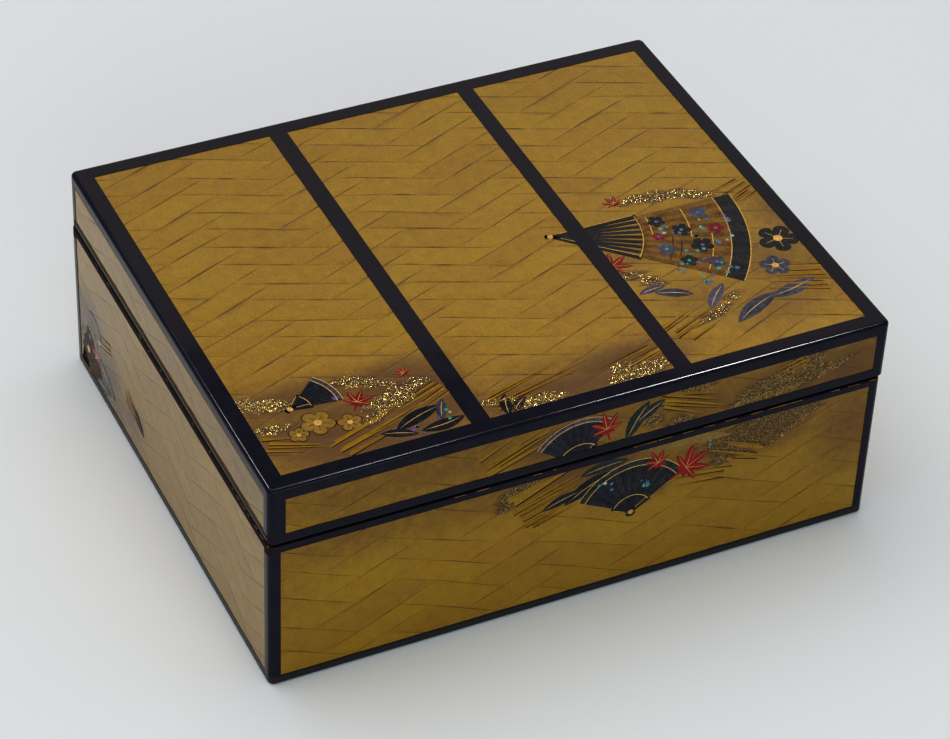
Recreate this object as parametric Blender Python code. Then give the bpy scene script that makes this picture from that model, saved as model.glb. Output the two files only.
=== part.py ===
# Small lacquered wooden box with a lift-off lid and a hanging inner tray.
# Metres, +Z up. The origin is under the middle of the closed box, on the surface it stands on.
# +X runs along the long side, to the right of the front, and +Y to the back.

import math

import bmesh
import bpy
from mathutils import Matrix, Vector

MM = 0.001

# ---------------------------------------------------------------- driving sizes, in millimetres
LID_W, LID_D = 120.0, 98.2          # outline of the lid
BODY_W, BODY_D = 119.4, 98.9        # outline of the lower box
LID_X, LID_Y = 0.0, -0.17           # the lid sits a little off the middle of the lower box
BODY_X, BODY_Y = -0.3, 0.0

TOTAL_H = 45.0                      # floor to lid top
BODY_H = 32.4                       # floor to the ledge that carries the lid
SEAM = 0.3                          # gap between touching pieces

CORNER_R = 1.2                      # upright corners
TOP_R = 0.7                         # rounding of the lid's top edge
BASE_R = 0.6                        # rounding of the lower box's bottom edge
SEAM_R = 0.4                        # rounding on both sides of the seam

FLOOR_T = 2.8                       # lower box's floor
RIM_HALF_X, RIM_HALF_Y = 57.4, 46.6  # outer faces of the standing rim
RIM_T = 1.3                         # thickness of the standing rim
RIM_H = 4.0                         # how far it stands above the ledge
RIM_R = 1.0                         # its corner radius
RIM_EDGE = 0.35                     # rounding of its upper edges
COVE_R = 0.8                        # cove where walls meet floors inside

LID_WALL = 1.9
LID_TOP_T = 2.4

TRAY_PLAY = 0.4                     # gap between the tray and the box walls
TRAY_WALL = 1.5
TRAY_FLOOR = 1.5
TRAY_BOTTOM_Z = 26.4                # underside of the tray
TRAY_LIP_OUT = 1.4                  # the lip reaches this far over the rim
TRAY_LIP_T = 1.3
TRAY_EDGE = 0.3

RECESS = 0.2                        # the gold surfaces lie in shallow panels
# panels on the lid top: three fields between two bars (x0, x1), and their common y0, y1
TOP_FIELDS = ((-56.4, -21.2), (-17.65, 18.05), (21.3, 56.6))
TOP_Y = (-45.9, 45.35)
# panels on the upright faces: border widths at the sides, bottom and top
LID_SIDE_X, LID_BOTTOM, LID_TOP = (3.1, 2.5), 2.1, 2.45
BODY_SIDE_X, BODY_BOTTOM, BODY_TOP = (2.1, 2.3), 2.0, 1.35
END_BORDER = 2.3                    # upright borders on the two short sides

CORNER_STEPS = 6
EDGE_STEPS = 4


# ---------------------------------------------------------------- small helpers
def clear_scene():
    for obj in list(bpy.data.objects):
        bpy.data.objects.remove(obj, do_unlink=True)


def lacquer(name, colour, roughness):
    mat = bpy.data.materials.new(name)
    mat.use_nodes = True
    shader = mat.node_tree.nodes["Principled BSDF"]
    shader.inputs["Base Color"].default_value = (*colour, 1.0)
    shader.inputs["Roughness"].default_value = roughness
    shader.inputs["Metallic"].default_value = 0.0
    return mat


def loop_at(centre, half_x, half_y, radius, z):
    """Rounded rectangle, anticlockwise from above, as a list of points in millimetres."""
    points = []
    for k, (sx, sy) in enumerate(((1, 1), (-1, 1), (-1, -1), (1, -1))):
        for i in range(CORNER_STEPS + 1):
            a = math.radians(90.0 * k + 90.0 * i / CORNER_STEPS)
            points.append((
                centre[0] + sx * (half_x - radius) + radius * math.cos(a),
                centre[1] + sy * (half_y - radius) + radius * math.sin(a),
                z,
            ))
    return points


def arc(turn_from, turn_to, steps=EDGE_STEPS):
    """Angles of a quarter round, in radians."""
    return [math.radians(turn_from + (turn_to - turn_from) * i / steps) for i in range(steps + 1)]


def section_to_loops(centre, half_x, half_y, corner, section):
    """section is a list of (inset, z): each becomes a rounded rectangle inset from the outline."""
    loops = []
    for inset, z in section:
        loops.append(loop_at(centre, half_x - inset, half_y - inset, max(corner - inset, 0.25), z))
    return loops


def solid_from_loops(name, loops, mat):
    """Skins the loops one after another and closes the first downwards and the last upwards."""
    bm = bmesh.new()
    rings = [[bm.verts.new(Vector(p) * MM) for p in loop] for loop in loops]
    count = len(rings[0])
    for low, high in zip(rings, rings[1:]):
        for i in range(count):
            j = (i + 1) % count
            bm.faces.new((low[i], low[j], high[j], high[i]))
    bm.faces.new(list(reversed(rings[0])))
    bm.faces.new(rings[-1])
    bm.normal_update()
    mesh = bpy.data.meshes.new(name)
    bm.to_mesh(mesh)
    bm.free()
    mesh.shade_smooth()
    mesh.set_sharp_from_angle(angle=math.radians(35))
    mesh.materials.append(mat)
    obj = bpy.data.objects.new(name, mesh)
    bpy.context.scene.collection.objects.link(obj)
    return obj


def panel_cutter(name, boxes):
    """One mesh of separate blocks: each is (x0, x1, y0, y1, z0, z1) in millimetres."""
    bm = bmesh.new()
    for x0, x1, y0, y1, z0, z1 in boxes:
        scale = Matrix.Diagonal((x1 - x0, y1 - y0, z1 - z0, 1.0))
        move = Matrix.Translation(((x0 + x1) / 2, (y0 + y1) / 2, (z0 + z1) / 2))
        bmesh.ops.create_cube(bm, size=1.0, matrix=Matrix.Scale(MM, 4) @ move @ scale)
    mesh = bpy.data.meshes.new(name)
    bm.to_mesh(mesh)
    bm.free()
    obj = bpy.data.objects.new(name, mesh)
    bpy.context.scene.collection.objects.link(obj)
    obj.hide_render = True
    obj.display_type = 'WIRE'
    return obj


def cut(obj, cutter):
    mod = obj.modifiers.new("panels", 'BOOLEAN')
    mod.operation = 'DIFFERENCE'
    mod.solver = 'EXACT'
    mod.object = cutter


def side_panels(cx, cy, half_x, half_y, z0, z1, borders):
    """Four shallow panels, one on each upright face."""
    left, right = borders
    out = 3.0
    return [
        (cx - half_x + left, cx + half_x - right, cy - half_y - out, cy - half_y + RECESS, z0, z1),
        (cx - half_x + right, cx + half_x - left, cy + half_y - RECESS, cy + half_y + out, z0, z1),
        (cx - half_x - out, cx - half_x + RECESS, cy - half_y + END_BORDER, cy + half_y - END_BORDER, z0, z1),
        (cx + half_x - RECESS, cx + half_x + out, cy - half_y + END_BORDER, cy + half_y - END_BORDER, z0, z1),
    ]


# ---------------------------------------------------------------- the three pieces
def make_body(mat):
    hx, hy = BODY_W / 2, BODY_D / 2
    centre = (BODY_X, BODY_Y)
    section = []
    for a in arc(-90, 0):                                   # bottom edge
        section.append((BASE_R - BASE_R * math.cos(a), BASE_R + BASE_R * math.sin(a)))
    for a in arc(0, 90):                                    # edge under the lid
        section.append((SEAM_R - SEAM_R * math.cos(a), BODY_H - SEAM_R + SEAM_R * math.sin(a)))
    loops = section_to_loops(centre, hx, hy, CORNER_R, section)
    rim_top = BODY_H + RIM_H
    loops.append(loop_at(centre, RIM_HALF_X, RIM_HALF_Y, RIM_R, BODY_H))
    for a in arc(0, 90, 3):
        inset = RIM_EDGE - RIM_EDGE * math.cos(a)
        loops.append(loop_at(centre, RIM_HALF_X - inset, RIM_HALF_Y - inset, RIM_R - inset,
                             rim_top - RIM_EDGE + RIM_EDGE * math.sin(a)))
    in_x, in_y, in_r = RIM_HALF_X - RIM_T, RIM_HALF_Y - RIM_T, 0.9
    for a in arc(90, 0, 3):
        grow = RIM_EDGE - RIM_EDGE * math.cos(a)
        loops.append(loop_at(centre, in_x + grow, in_y + grow, in_r + grow,
                             rim_top - RIM_EDGE + RIM_EDGE * math.sin(a)))
    for a in arc(0, 90):                                    # cove down to the floor
        inset = COVE_R - COVE_R * math.cos(a)
        loops.append(loop_at(centre, in_x - inset, in_y - inset, max(in_r - inset, 0.1),
                             FLOOR_T + COVE_R - COVE_R * math.sin(a)))
    body = solid_from_loops("box_body", loops, mat)
    cutter = panel_cutter("guide_body_panels", side_panels(
        BODY_X, BODY_Y, hx, hy, BODY_BOTTOM, BODY_H - BODY_TOP, BODY_SIDE_X))
    cut(body, cutter)
    return body


def make_lid(mat):
    hx, hy = LID_W / 2, LID_D / 2
    centre = (LID_X, LID_Y)
    low = BODY_H + SEAM
    ceiling = TOTAL_H - LID_TOP_T
    in_x, in_y, in_r = hx - LID_WALL, hy - LID_WALL, 0.9
    loops = []
    for a in arc(90, 0):                                    # ceiling, then its cove
        inset = COVE_R - COVE_R * math.cos(a)
        loops.append(loop_at(centre, in_x - inset, in_y - inset, max(in_r - inset, 0.1),
                             ceiling - COVE_R + COVE_R * math.sin(a)))
    edge = 0.3
    for a in arc(0, 90, 2):                                 # lower edge, inner side
        grow = edge - edge * math.cos(a)
        loops.append(loop_at(centre, in_x + grow, in_y + grow, in_r + grow,
                             low + edge - edge * math.sin(a)))
    for a in arc(-90, 0):                                   # lower edge, outer side
        inset = SEAM_R - SEAM_R * math.cos(a)
        loops.append(loop_at(centre, hx - inset, hy - inset, CORNER_R - inset,
                             low + SEAM_R + SEAM_R * math.sin(a)))
    for a in arc(0, 90):                                    # top edge
        inset = TOP_R - TOP_R * math.cos(a)
        loops.append(loop_at(centre, hx - inset, hy - inset, CORNER_R - inset,
                             TOTAL_H - TOP_R + TOP_R * math.sin(a)))
    lid = solid_from_loops("lid", loops, mat)
    blocks = side_panels(LID_X, LID_Y, hx, hy, low + LID_BOTTOM, TOTAL_H - LID_TOP, LID_SIDE_X)
    for x0, x1 in TOP_FIELDS:
        blocks.append((x0, x1, TOP_Y[0], TOP_Y[1], TOTAL_H - RECESS, TOTAL_H + 3.0))
    cut(lid, panel_cutter("guide_lid_panels", blocks))
    return lid


def make_tray(mat):
    centre = (BODY_X, BODY_Y)
    hx = RIM_HALF_X - RIM_T - TRAY_PLAY
    hy = RIM_HALF_Y - RIM_T - TRAY_PLAY
    lip_low = BODY_H + RIM_H + SEAM
    lip_top = lip_low + TRAY_LIP_T
    r = 0.8
    loops = []
    for a in arc(-90, 0, 3):                                # bottom edge
        inset = TRAY_EDGE - TRAY_EDGE * math.cos(a)
        loops.append(loop_at(centre, hx - inset, hy - inset, r - inset,
                             TRAY_BOTTOM_Z + TRAY_EDGE + TRAY_EDGE * math.sin(a)))
    loops.append(loop_at(centre, hx, hy, r, lip_low))       # up to the lip
    out_x, out_y = hx + TRAY_LIP_OUT, hy + TRAY_LIP_OUT
    for a in arc(-90, 0, 2):
        inset = TRAY_EDGE - TRAY_EDGE * math.cos(a)
        loops.append(loop_at(centre, out_x - inset, out_y - inset, 1.0 - inset,
                             lip_low + TRAY_EDGE + TRAY_EDGE * math.sin(a)))
    for a in arc(0, 90, 3):
        inset = TRAY_EDGE - TRAY_EDGE * math.cos(a)
        loops.append(loop_at(centre, out_x - inset, out_y - inset, 1.0 - inset,
                             lip_top - TRAY_EDGE + TRAY_EDGE * math.sin(a)))
    in_x, in_y, in_r = hx - TRAY_WALL, hy - TRAY_WALL, 0.8
    for a in arc(90, 0, 3):
        grow = TRAY_EDGE - TRAY_EDGE * math.cos(a)
        loops.append(loop_at(centre, in_x + grow, in_y + grow, in_r + grow,
                             lip_top - TRAY_EDGE + TRAY_EDGE * math.sin(a)))
    floor = TRAY_BOTTOM_Z + TRAY_FLOOR
    cove = 0.7
    for a in arc(0, 90):
        inset = cove - cove * math.cos(a)
        loops.append(loop_at(centre, in_x - inset, in_y - inset, max(in_r - inset, 0.1),
                             floor + cove - cove * math.sin(a)))
    return solid_from_loops("tray", loops, mat)


def main():
    clear_scene()
    black = lacquer("black_lacquer", (0.012, 0.011, 0.016), 0.12)
    black_lid = lacquer("black_lacquer_lid", (0.012, 0.011, 0.016), 0.12)
    tray_mat = lacquer("tray_lacquer", (0.012, 0.010, 0.012), 0.15)
    make_body(black)
    make_lid(black_lid)
    make_tray(tray_mat)


main()
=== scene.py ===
import math

import bmesh
import bpy
import numpy as np
from mathutils import Matrix, Vector


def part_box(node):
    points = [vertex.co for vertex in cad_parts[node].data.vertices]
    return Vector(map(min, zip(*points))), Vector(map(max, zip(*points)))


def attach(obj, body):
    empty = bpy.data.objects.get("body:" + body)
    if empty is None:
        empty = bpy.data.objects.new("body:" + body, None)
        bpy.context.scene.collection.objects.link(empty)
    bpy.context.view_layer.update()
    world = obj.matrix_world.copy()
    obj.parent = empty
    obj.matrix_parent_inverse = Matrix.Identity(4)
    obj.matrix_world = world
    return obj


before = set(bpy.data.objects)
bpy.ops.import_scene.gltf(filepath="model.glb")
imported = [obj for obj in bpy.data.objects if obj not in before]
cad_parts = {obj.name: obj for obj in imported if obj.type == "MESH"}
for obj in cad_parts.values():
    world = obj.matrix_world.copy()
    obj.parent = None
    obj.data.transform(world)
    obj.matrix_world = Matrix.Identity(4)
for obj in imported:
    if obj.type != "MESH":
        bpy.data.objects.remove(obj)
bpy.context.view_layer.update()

MM = 0.001


# ------------------------------------------------------------------ faces of the box
# Every face of the box is drawn on in millimetres: u to the right, v up (or back, on the lid top),
# h outwards from the lacquered surface.
LID_LO, LID_HI = [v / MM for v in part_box("lid")]
BOD_LO, BOD_HI = [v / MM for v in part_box("box_body")]
RECESS = 0.2
LEDGE = 32.4                                   # height of the seam
TOP = LID_HI.z


def on_top(u, v, h):
    return (u, v, TOP + h)


def on_front(y0):
    return lambda u, v, h: (u, y0 - h, v)


def on_back(y1):
    return lambda u, v, h: (-u, y1 + h, v)


def on_left(x0):
    return lambda u, v, h: (x0 - h, -u, v)


def on_right(x1):
    return lambda u, v, h: (x1 + h, u, v)


LID_V = (LEDGE + 0.3 + 2.1, TOP - 2.45)
BOD_V = (2.0, LEDGE - 1.35)
FIELDS = ((-56.4, -21.2), (-17.65, 18.05), (21.3, 56.6))
FIELD_V = (-45.9, 45.35)

PANELS = {
    "lid_front": (on_front(LID_LO.y), (LID_LO.x + 3.1, LID_HI.x - 2.5) + LID_V),
    "lid_back": (on_back(LID_HI.y), (-(LID_HI.x - 3.1), -(LID_LO.x + 2.5)) + LID_V),
    "lid_left": (on_left(LID_LO.x), (-(LID_HI.y - 2.3), -(LID_LO.y + 2.3)) + LID_V),
    "lid_right": (on_right(LID_HI.x), (LID_LO.y + 2.3, LID_HI.y - 2.3) + LID_V),
    "body_front": (on_front(BOD_LO.y), (BOD_LO.x + 2.1, BOD_HI.x - 2.3) + BOD_V),
    "body_back": (on_back(BOD_HI.y), (-(BOD_HI.x - 2.1), -(BOD_LO.x + 2.3)) + BOD_V),
    "body_left": (on_left(BOD_LO.x), (-(BOD_HI.y - 2.3), -(BOD_LO.y + 2.3)) + BOD_V),
    "body_right": (on_right(BOD_HI.x), (BOD_LO.y + 2.3, BOD_HI.y - 2.3) + BOD_V),
}
for k, (u0, u1) in enumerate(FIELDS):
    PANELS["lid_top_%d" % k] = (on_top, (u0, u1) + FIELD_V)


# ------------------------------------------------------------------ smooth repeatable noise
class Wobble:
    """Smooth noise in two directions, from a few waves with seeded directions."""

    def __init__(self, seed, size, waves=9):
        rng = np.random.default_rng(seed)
        ang = rng.uniform(0, 2 * math.pi, waves)
        k = 2 * math.pi / (size * rng.uniform(0.6, 1.8, waves))
        self.kx, self.ky = k * np.cos(ang), k * np.sin(ang)
        self.ph = rng.uniform(0, 2 * math.pi, waves)
        self.n = waves

    def __call__(self, u, v):
        u, v = np.asarray(u, float), np.asarray(v, float)
        total = 0.0
        for a, b, c in zip(self.kx, self.ky, self.ph):
            total = total + np.sin(a * u + b * v + c)
        return total / math.sqrt(self.n / 2.0) * 0.5


# ------------------------------------------------------------------ mesh collector
class Builder:
    def __init__(self):
        self.v, self.f, self.m, self.c = [], [], [], []
        self.n = 0

    def add(self, points, faces, mat=0, col=None):
        pts = np.asarray(points, float)
        if col is None:
            col = (0.5, 1.0, 0.0)
        col = np.asarray(col, float)
        if col.ndim == 1:
            col = np.tile(col, (len(pts), 1))
        self.v.append(pts)
        self.c.append(col)
        for f in faces:
            self.f.append([i + self.n for i in f])
            self.m.append(mat)
        self.n += len(pts)

    def finish(self, name, materials, slot, smooth=None):
        v = np.concatenate(self.v) * MM
        mesh = bpy.data.meshes.new(name)
        mesh.from_pydata(v.tolist(), [], self.f)
        for m in materials:
            mesh.materials.append(m)
        mesh.polygons.foreach_set("material_index", self.m)
        att = mesh.color_attributes.new("wv", 'FLOAT_COLOR', 'POINT')
        c = np.concatenate(self.c)
        rgba = np.ones((len(c), 4), np.float32)
        rgba[:, :3] = c
        att.data.foreach_set("color", rgba.ravel())
        mesh.validate()
        if smooth is not None:
            mesh.shade_smooth()
            mesh.set_sharp_from_angle(angle=math.radians(smooth))
        obj = bpy.data.objects.new(name, mesh)
        bpy.context.scene.collection.objects.link(obj)
        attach(obj, "root")
        return obj


# ------------------------------------------------------------------ where the surface is darkened brown: sprinkled brown shading round the pictures, and painted shade in the broad bands
# (face group, u, v, size u, size v, strength)
SHADES = [
    ("top", -46, -29, 16, 5.5, 1.05), ("top", -30, -34, 13, 7.0, 1.15), ("top", -45, -38, 17, 8.0, 1.15),
    ("top", -38, -43, 21, 6.0, 1.15), ("top", -22, -40, 8, 7, 1.0), ("top", -56, -34, 6, 14, 0.8),
    ("top", -2, -43.5, 24, 5.0, 1.1), ("top", 11, -41, 14, 5.2, 1.15), ("top", 2, -38.0, 18, 3.2, 0.5),
    ("top", 25, -12, 8, 9.0, 0.5), ("top", 40, -12, 17, 11, 0.55), ("top", 32, -30, 11, 8, 0.55),
    ("top", 50, -24, 11, 9, 0.75), ("top", 44, -38, 14, 3.5, 0.3), ("top", 56, -12, 5, 12, 0.7),
    ("top", 54, 30, 7, 14, 0.22), ("top", -54, 30, 5, 18, 0.20), ("top", -24, 10, 4, 12, 0.16),
    ("front", -9, 38, 9, 4.5, 1.0), ("front", 2, 31, 18, 6, 0.95), ("front", 22, 38, 13, 5, 0.85),
    ("front", 41, 38, 17, 5.5, 1.0), ("front", 34, 26.5, 14, 5.0, 0.95), ("front", 54, 38, 8, 8, 0.95),
    ("front", 10, 20.5, 12, 3.0, 0.55), ("front", -13, 28, 8, 4.0, 0.75), ("front", -50, 39, 20, 7, 0.45),
    ("front", -28, 39, 16, 7, 0.40), ("front", 55, 26, 8, 8, 0.45), ("front", 20, 27, 13, 6, 0.7),
    ("left", -41, 8, 12, 9, 1.3), ("left", -30, 5, 10, 7, 0.9), ("left", -17, 10, 6, 3.0, 0.9),
    ("top", 52, -27, 14, 16, 0.62), ("top", 44, -36, 15, 9, 0.62),
    ("top", -28, -29, 12, 5, 1.0), ("top", -24, -33, 8, 7, 1.1), ("top", 0, -37, 30, 4.5, 0.5),
    # the broad bands across the front at v 40 and 31, at its ends at v 24, and on the lid's left end at v 39 are
    # painted shade: the front darker towards the top and at its ends, the lid's left end darker towards the front
    ("front", 0, 40, 120, 7, 0.65), ("front", 0, 31, 120, 8, 0.60), ("front", 54, 24, 11, 14, 0.75), ("front", -56, 24, 9, 14, 0.36), ("front", 52, 37, 12, 8, 1.0),
    ("left", 36, 39, 30, 9, 0.56), ("left", 0, 39, 60, 9, 0.40), ("left", -42, 13, 9, 8, 1.25), ("left", -33, 9, 9, 8, 1.2), ("left", -20, 7, 9, 6, 0.7),
    ("right", -38, 26, 12, 6, 0.7), ("back", 38, 6, 12, 6, 0.7),
]

# drifts of gold leaf: centre u, v, half sizes, slope in degrees
DRIFTS = {
    "fan_upper": ("top", [(38.0, 0.4, 6.6, 1.7, -6), (45.0, -1.6, 4.4, 1.4, -26), (33.0, 1.2, 3.0, 1.0, 18)]),
    "fan_lower": ("top", [(22.9, -19.2, 2.4, 1.4, -38), (26.0, -22.4, 2.6, 1.2, -38)]),
    "fan_far": ("top", [(32.5, -34.8, 4.4, 1.2, 22), (36.8, -32.2, 3.2, 1.0, 30)]),
    "a_left": ("top", [(-52.0, -28.2, 4.8, 1.9, -14), (-55.4, -26.0, 2.2, 1.2, 0)]),
    "a_mid": ("top", [(-34.6, -28.2, 4.8, 1.8, -22), (-30.6, -30.2, 2.4, 1.0, -20)]),
    "a_low": ("top", [(-30.5, -34.4, 6.6, 2.5, 18), (-35.6, -37.9, 3.0, 1.5, 30), (-25.5, -31.8, 3.0, 1.4, 0)]),
    "a_edge": ("top", [(-53.4, -34.4, 3.6, 1.2, -6)]),
    "b_left": ("top", [(-8.0, -44.8, 5.8, 1.8, -3), (-16.2, -42.0, 1.8, 1.0, 0), (-12.0, -43.0, 2.2, 1.0, -30)]),
    "b_right": ("top", [(11.0, -44.6, 5.8, 2.0, 4), (9.6, -42.2, 2.8, 1.5, 0), (15.6, -43.6, 3.6, 1.4, -12)]),
    "lid_field": ("front", [(38.5, 37.8, 10.5, 2.7, 5), (43.0, 40.8, 5.0, 2.2, 10), (34.5, 36.0, 6.5, 1.3, 0)]),
    "lid_field_rim": ("front", [(36.0, 35.9, 7.5, 0.7, 3), (49.2, 38.3, 4.4, 0.8, 22)]),
    "lid_small": ("front", [(19.6, 42.4, 5.0, 1.0, -8), (22.8, 41.6, 2.8, 0.9, -15)]),
    "lid_low": ("front", [(18.4, 35.4, 3.6, 0.9, 0), (12.6, 37.4, 1.9, 1.5, 20)]),
    "body_left_end": ("front", [(-14.4, 28.6, 2.9, 2.2, 30), (-11.6, 30.0, 2.8, 1.5, 0), (-15.8, 26.2, 1.6, 0.9, 0)]),
    "body_field": ("front", [(33.5, 28.2, 11.0, 3.8, 10), (42.0, 29.6, 6.6, 1.9, 24), (33.0, 24.8, 5.0, 1.5, 8)]),
    "body_rim": ("front", [(40.6, 26.0, 4.6, 0.7, 34), (46.0, 29.2, 2.4, 0.6, 38), (27.4, 23.4, 2.2, 0.8, -10)]),
    "left_low": ("left", [(-41.5, 5.6, 4.6, 3.6, 20), (-45.0, 9.0, 2.6, 2.2, 0)]),
    "right_high": ("right", [(-38.0, 27.6, 7.5, 2.2, -6), (-43.5, 29.4, 4.0, 1.4, 0)]),
    "back_low": ("back", [(38.0, 5.2, 8.5, 2.2, 6), (44.0, 3.4, 5.0, 1.4, 0)]),
}
RAG = Wobble(91, 2.4)


def inside_blob(u, v, blobs):
    """Union of ellipses with a ragged rim: positive inside."""
    best = np.full_like(np.asarray(u, float), -9.0)
    for cu, cv, ru, rv, ang in blobs:
        ca, sa = math.cos(math.radians(ang)), math.sin(math.radians(ang))
        x, y = (u - cu) * ca + (v - cv) * sa, -(u - cu) * sa + (v - cv) * ca
        best = np.maximum(best, 1 - np.hypot(x / ru, y / rv))
    return best + RAG(u, v) * 0.20


def shade_at(group, u, v):
    s = np.zeros_like(np.asarray(u, float))
    for g, cu, cv, su, sv, k in SHADES:
        if g == group:
            d = ((u - cu) / su) ** 2 + ((v - cv) / sv) ** 2
            s = np.maximum(s, k * 0.95 * np.exp(-d * 0.85))
    for g, blobs in DRIFTS.values():
        if g == group:
            s = np.maximum(s, np.clip(inside_blob(u, v, blobs) * 5 + 0.6, 0, 1.5))
    return s


# ------------------------------------------------------------------ plaited strips
T_ROW = np.array([0.0, 0.03, 0.075, 0.16, 0.34, 0.66, 0.84, 0.925, 0.97, 1.0])
NS = 21


def strips(builder, place, rect, group, pitch, slope, ca, cb, k0, seed, line_mm=0.064, depth=1.0):
    """Flat plaited strips in two slanting directions, each passing over two and under two.
    Where a strip shows, it is a thin crowned plate whose ends run under the crossing strips."""
    u0, u1, v0, v1 = rect
    rng = np.random.default_rng(seed)
    edge_noise = Wobble(seed + 5, 4.2)
    line_noise = Wobble(seed + 6, 9.0)
    warp_u, warp_v = Wobble(seed + 7, 34.0, 6), Wobble(seed + 8, 30.0, 6)
    reach = max(abs(u0), abs(u1)) * slope
    lo = int(math.floor((v0 - reach - max(ca, cb)) / pitch)) - 3
    hi = int(math.ceil((v1 + reach - min(ca, cb)) / pitch)) + 3
    ja = {i: (slope + rng.normal(0, 0.010), pitch * i + ca + rng.normal(0, 0.16)) for i in range(lo - 1, hi + 2)}
    jb = {i: (slope + rng.normal(0, 0.010), pitch * i + cb + rng.normal(0, 0.16)) for i in range(lo - 1, hi + 2)}

    def cross(i, j):
        if i not in ja or j not in jb:
            return None
        (ma, a), (mb, b) = ja[i], jb[j]
        x = (b - a) / (ma + mb)
        return np.array((x, ma * x + a))

    bm = bmesh.new()
    layer = bm.verts.layers.float_color.new("wv")
    cell = pitch / (2 * slope)
    kmax = int(max(abs(u0), abs(u1)) / cell) + 8
    for fam in (0, 1):
        for i in range(lo, hi + 1):
            for k in range(-kmax, kmax):
                if (k - k0 - 2 * fam) % 4:
                    continue
                if fam == 0:
                    q = (cross(i, i + k), cross(i, i + k + 2), cross(i + 1, i + k), cross(i + 1, i + k + 2))
                else:
                    j = i
                    q = (cross(j - k + 1, j), cross(j - k - 1, j), cross(j - k + 1, j + 1), cross(j - k - 1, j + 1))
                if any(p is None for p in q):
                    continue
                quad = np.array(q)
                if (quad[:, 0].max() < u0 - 0.5 or quad[:, 0].min() > u1 + 0.5
                        or quad[:, 1].max() < v0 - 0.5 or quad[:, 1].min() > v1 + 0.5):
                    continue
                p00, p10, p01, p11 = quad
                s = np.linspace(0, 1, NS)
                length = np.linalg.norm(p10 - p00)
                width = pitch * math.cos(math.atan(slope))
                # the dark line between neighbours opens and closes along its length
                mid_lo = p00[None] + (p10 - p00)[None] * s[:, None]
                mid_hi = p01[None] + (p11 - p01)[None] * s[:, None]
                fade = np.clip(np.minimum(s + 0.04, 1.02 - s) * length / 4.2, 0.0, 1.0)
                fade = fade * fade * (3 - 2 * fade)

                def line_strength(line):
                    g = 0.66 + 0.34 * line_noise(line[:, 0] * 0.8, line[:, 1] * 1.9) + 0.13 * edge_noise(line[:, 0], line[:, 1] * 1.4)
                    return np.clip(g * (0.12 + 0.88 * fade) * depth, 0.04, 0.95)

                q_lo, q_hi = line_strength(mid_lo), line_strength(mid_hi)
                g_lo, g_hi = q_lo * line_mm / width, q_hi * line_mm / width
                s_in = np.clip(s, 0.010 / length, 1 - 0.010 / length)
                grid_s = np.repeat(s_in[:, None], len(T_ROW), 1)
                grid_t = g_lo[:, None] + T_ROW[None, :] * (1 - g_lo - g_hi)[:, None]
                P = (p00[None, None] * ((1 - grid_s) * (1 - grid_t))[..., None]
                     + p10[None, None] * (grid_s * (1 - grid_t))[..., None]
                     + p01[None, None] * ((1 - grid_s) * grid_t)[..., None]
                     + p11[None, None] * (grid_s * grid_t)[..., None])
                x, y = P[..., 0], P[..., 1]
                tt = np.repeat(T_ROW[None, :], NS, 0)
                crown = 1 - np.abs(2 * tt - 1) ** 3.2
                rise = np.clip(np.minimum(grid_s, 1 - grid_s) * length / 1.6, 0, 1)
                rise = rise * rise * (3 - 2 * rise)
                h = -0.120 + 0.030 * crown * (0.35 + 0.65 * rise) + 0.012 * rise
                tone = np.full_like(x, rng.uniform(0, 1))
                lo_side = q_lo[:, None] * (1 - np.clip(tt * width / 0.42, 0, 1)) ** 1.5
                hi_side = q_hi[:, None] * (1 - np.clip((1 - tt) * width / 0.30, 0, 1)) ** 1.5
                d_end = np.minimum(grid_s, 1 - grid_s) * length
                end_side = 0.22 * depth * (1 - np.clip(d_end / 0.5, 0, 1))
                edge = 1 - np.clip(np.maximum(np.maximum(lo_side, hi_side), end_side), 0, 1)
                # soft brown breath along some of the lines, on one side only
                breath = np.clip(0.75 * line_noise(mid_hi[:, 0] * 0.5 + 40, mid_hi[:, 1] * 0.7 - 9), 0, 0.6) * depth
                shade = shade_at(group, x, y)
                shade = np.maximum(shade, breath[:, None] * (1 - np.clip((1 - tt) * width / 2.4, 0, 1)) ** 2)
                # under the crossing strip's edge the gold is darker
                wu, wv = warp_u(x, y) * 0.22, warp_v(x, y) * 0.22
                x, y = x + wu, y + wv
                idx = {}
                grid = []
                for a in range(NS):
                    row = []
                    for b in range(len(T_ROW)):
                        vert = bm.verts.new((x[a, b], y[a, b], h[a, b]))
                        vert[layer] = (tone[a, b], edge[a, b], shade[a, b], 1.0)
                        row.append(vert)
                    grid.append(row)
                nt = len(T_ROW)
                for a in range(NS - 1):
                    for b in range(nt - 1):
                        bm.faces.new((grid[a][b], grid[a + 1][b], grid[a + 1][b + 1], grid[a][b + 1]))
                ring = ([grid[a][0] for a in range(NS)] + [grid[NS - 1][b] for b in range(1, nt)]
                        + [grid[a][nt - 1] for a in range(NS - 2, -1, -1)] + [grid[0][b] for b in range(nt - 2, 0, -1)])
                low = []
                for vert in ring:
                    nv = bm.verts.new((vert.co.x, vert.co.y, -0.175))
                    nv[layer] = (vert[layer][0], 0.0, vert[layer][2], 1.0)
                    low.append(nv)
                for a in range(len(ring)):
                    b = (a + 1) % len(ring)
                    bm.faces.new((ring[b], ring[a], low[a], low[b]))
    eps = 0.03
    for co, no in (((u0 - eps, 0, 0), (-1, 0, 0)), ((u1 + eps, 0, 0), (1, 0, 0)),
                   ((0, v0 - eps, 0), (0, -1, 0)), ((0, v1 + eps, 0), (0, 1, 0))):
        geom = bm.verts[:] + bm.edges[:] + bm.faces[:]
        bmesh.ops.bisect_plane(bm, geom=geom, dist=1e-6, plane_co=co, plane_no=no, clear_outer=True)
    bm.verts.index_update()
    pts = np.array([v.co[:] for v in bm.verts])
    col = np.array([v[layer][:3] for v in bm.verts])
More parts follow.
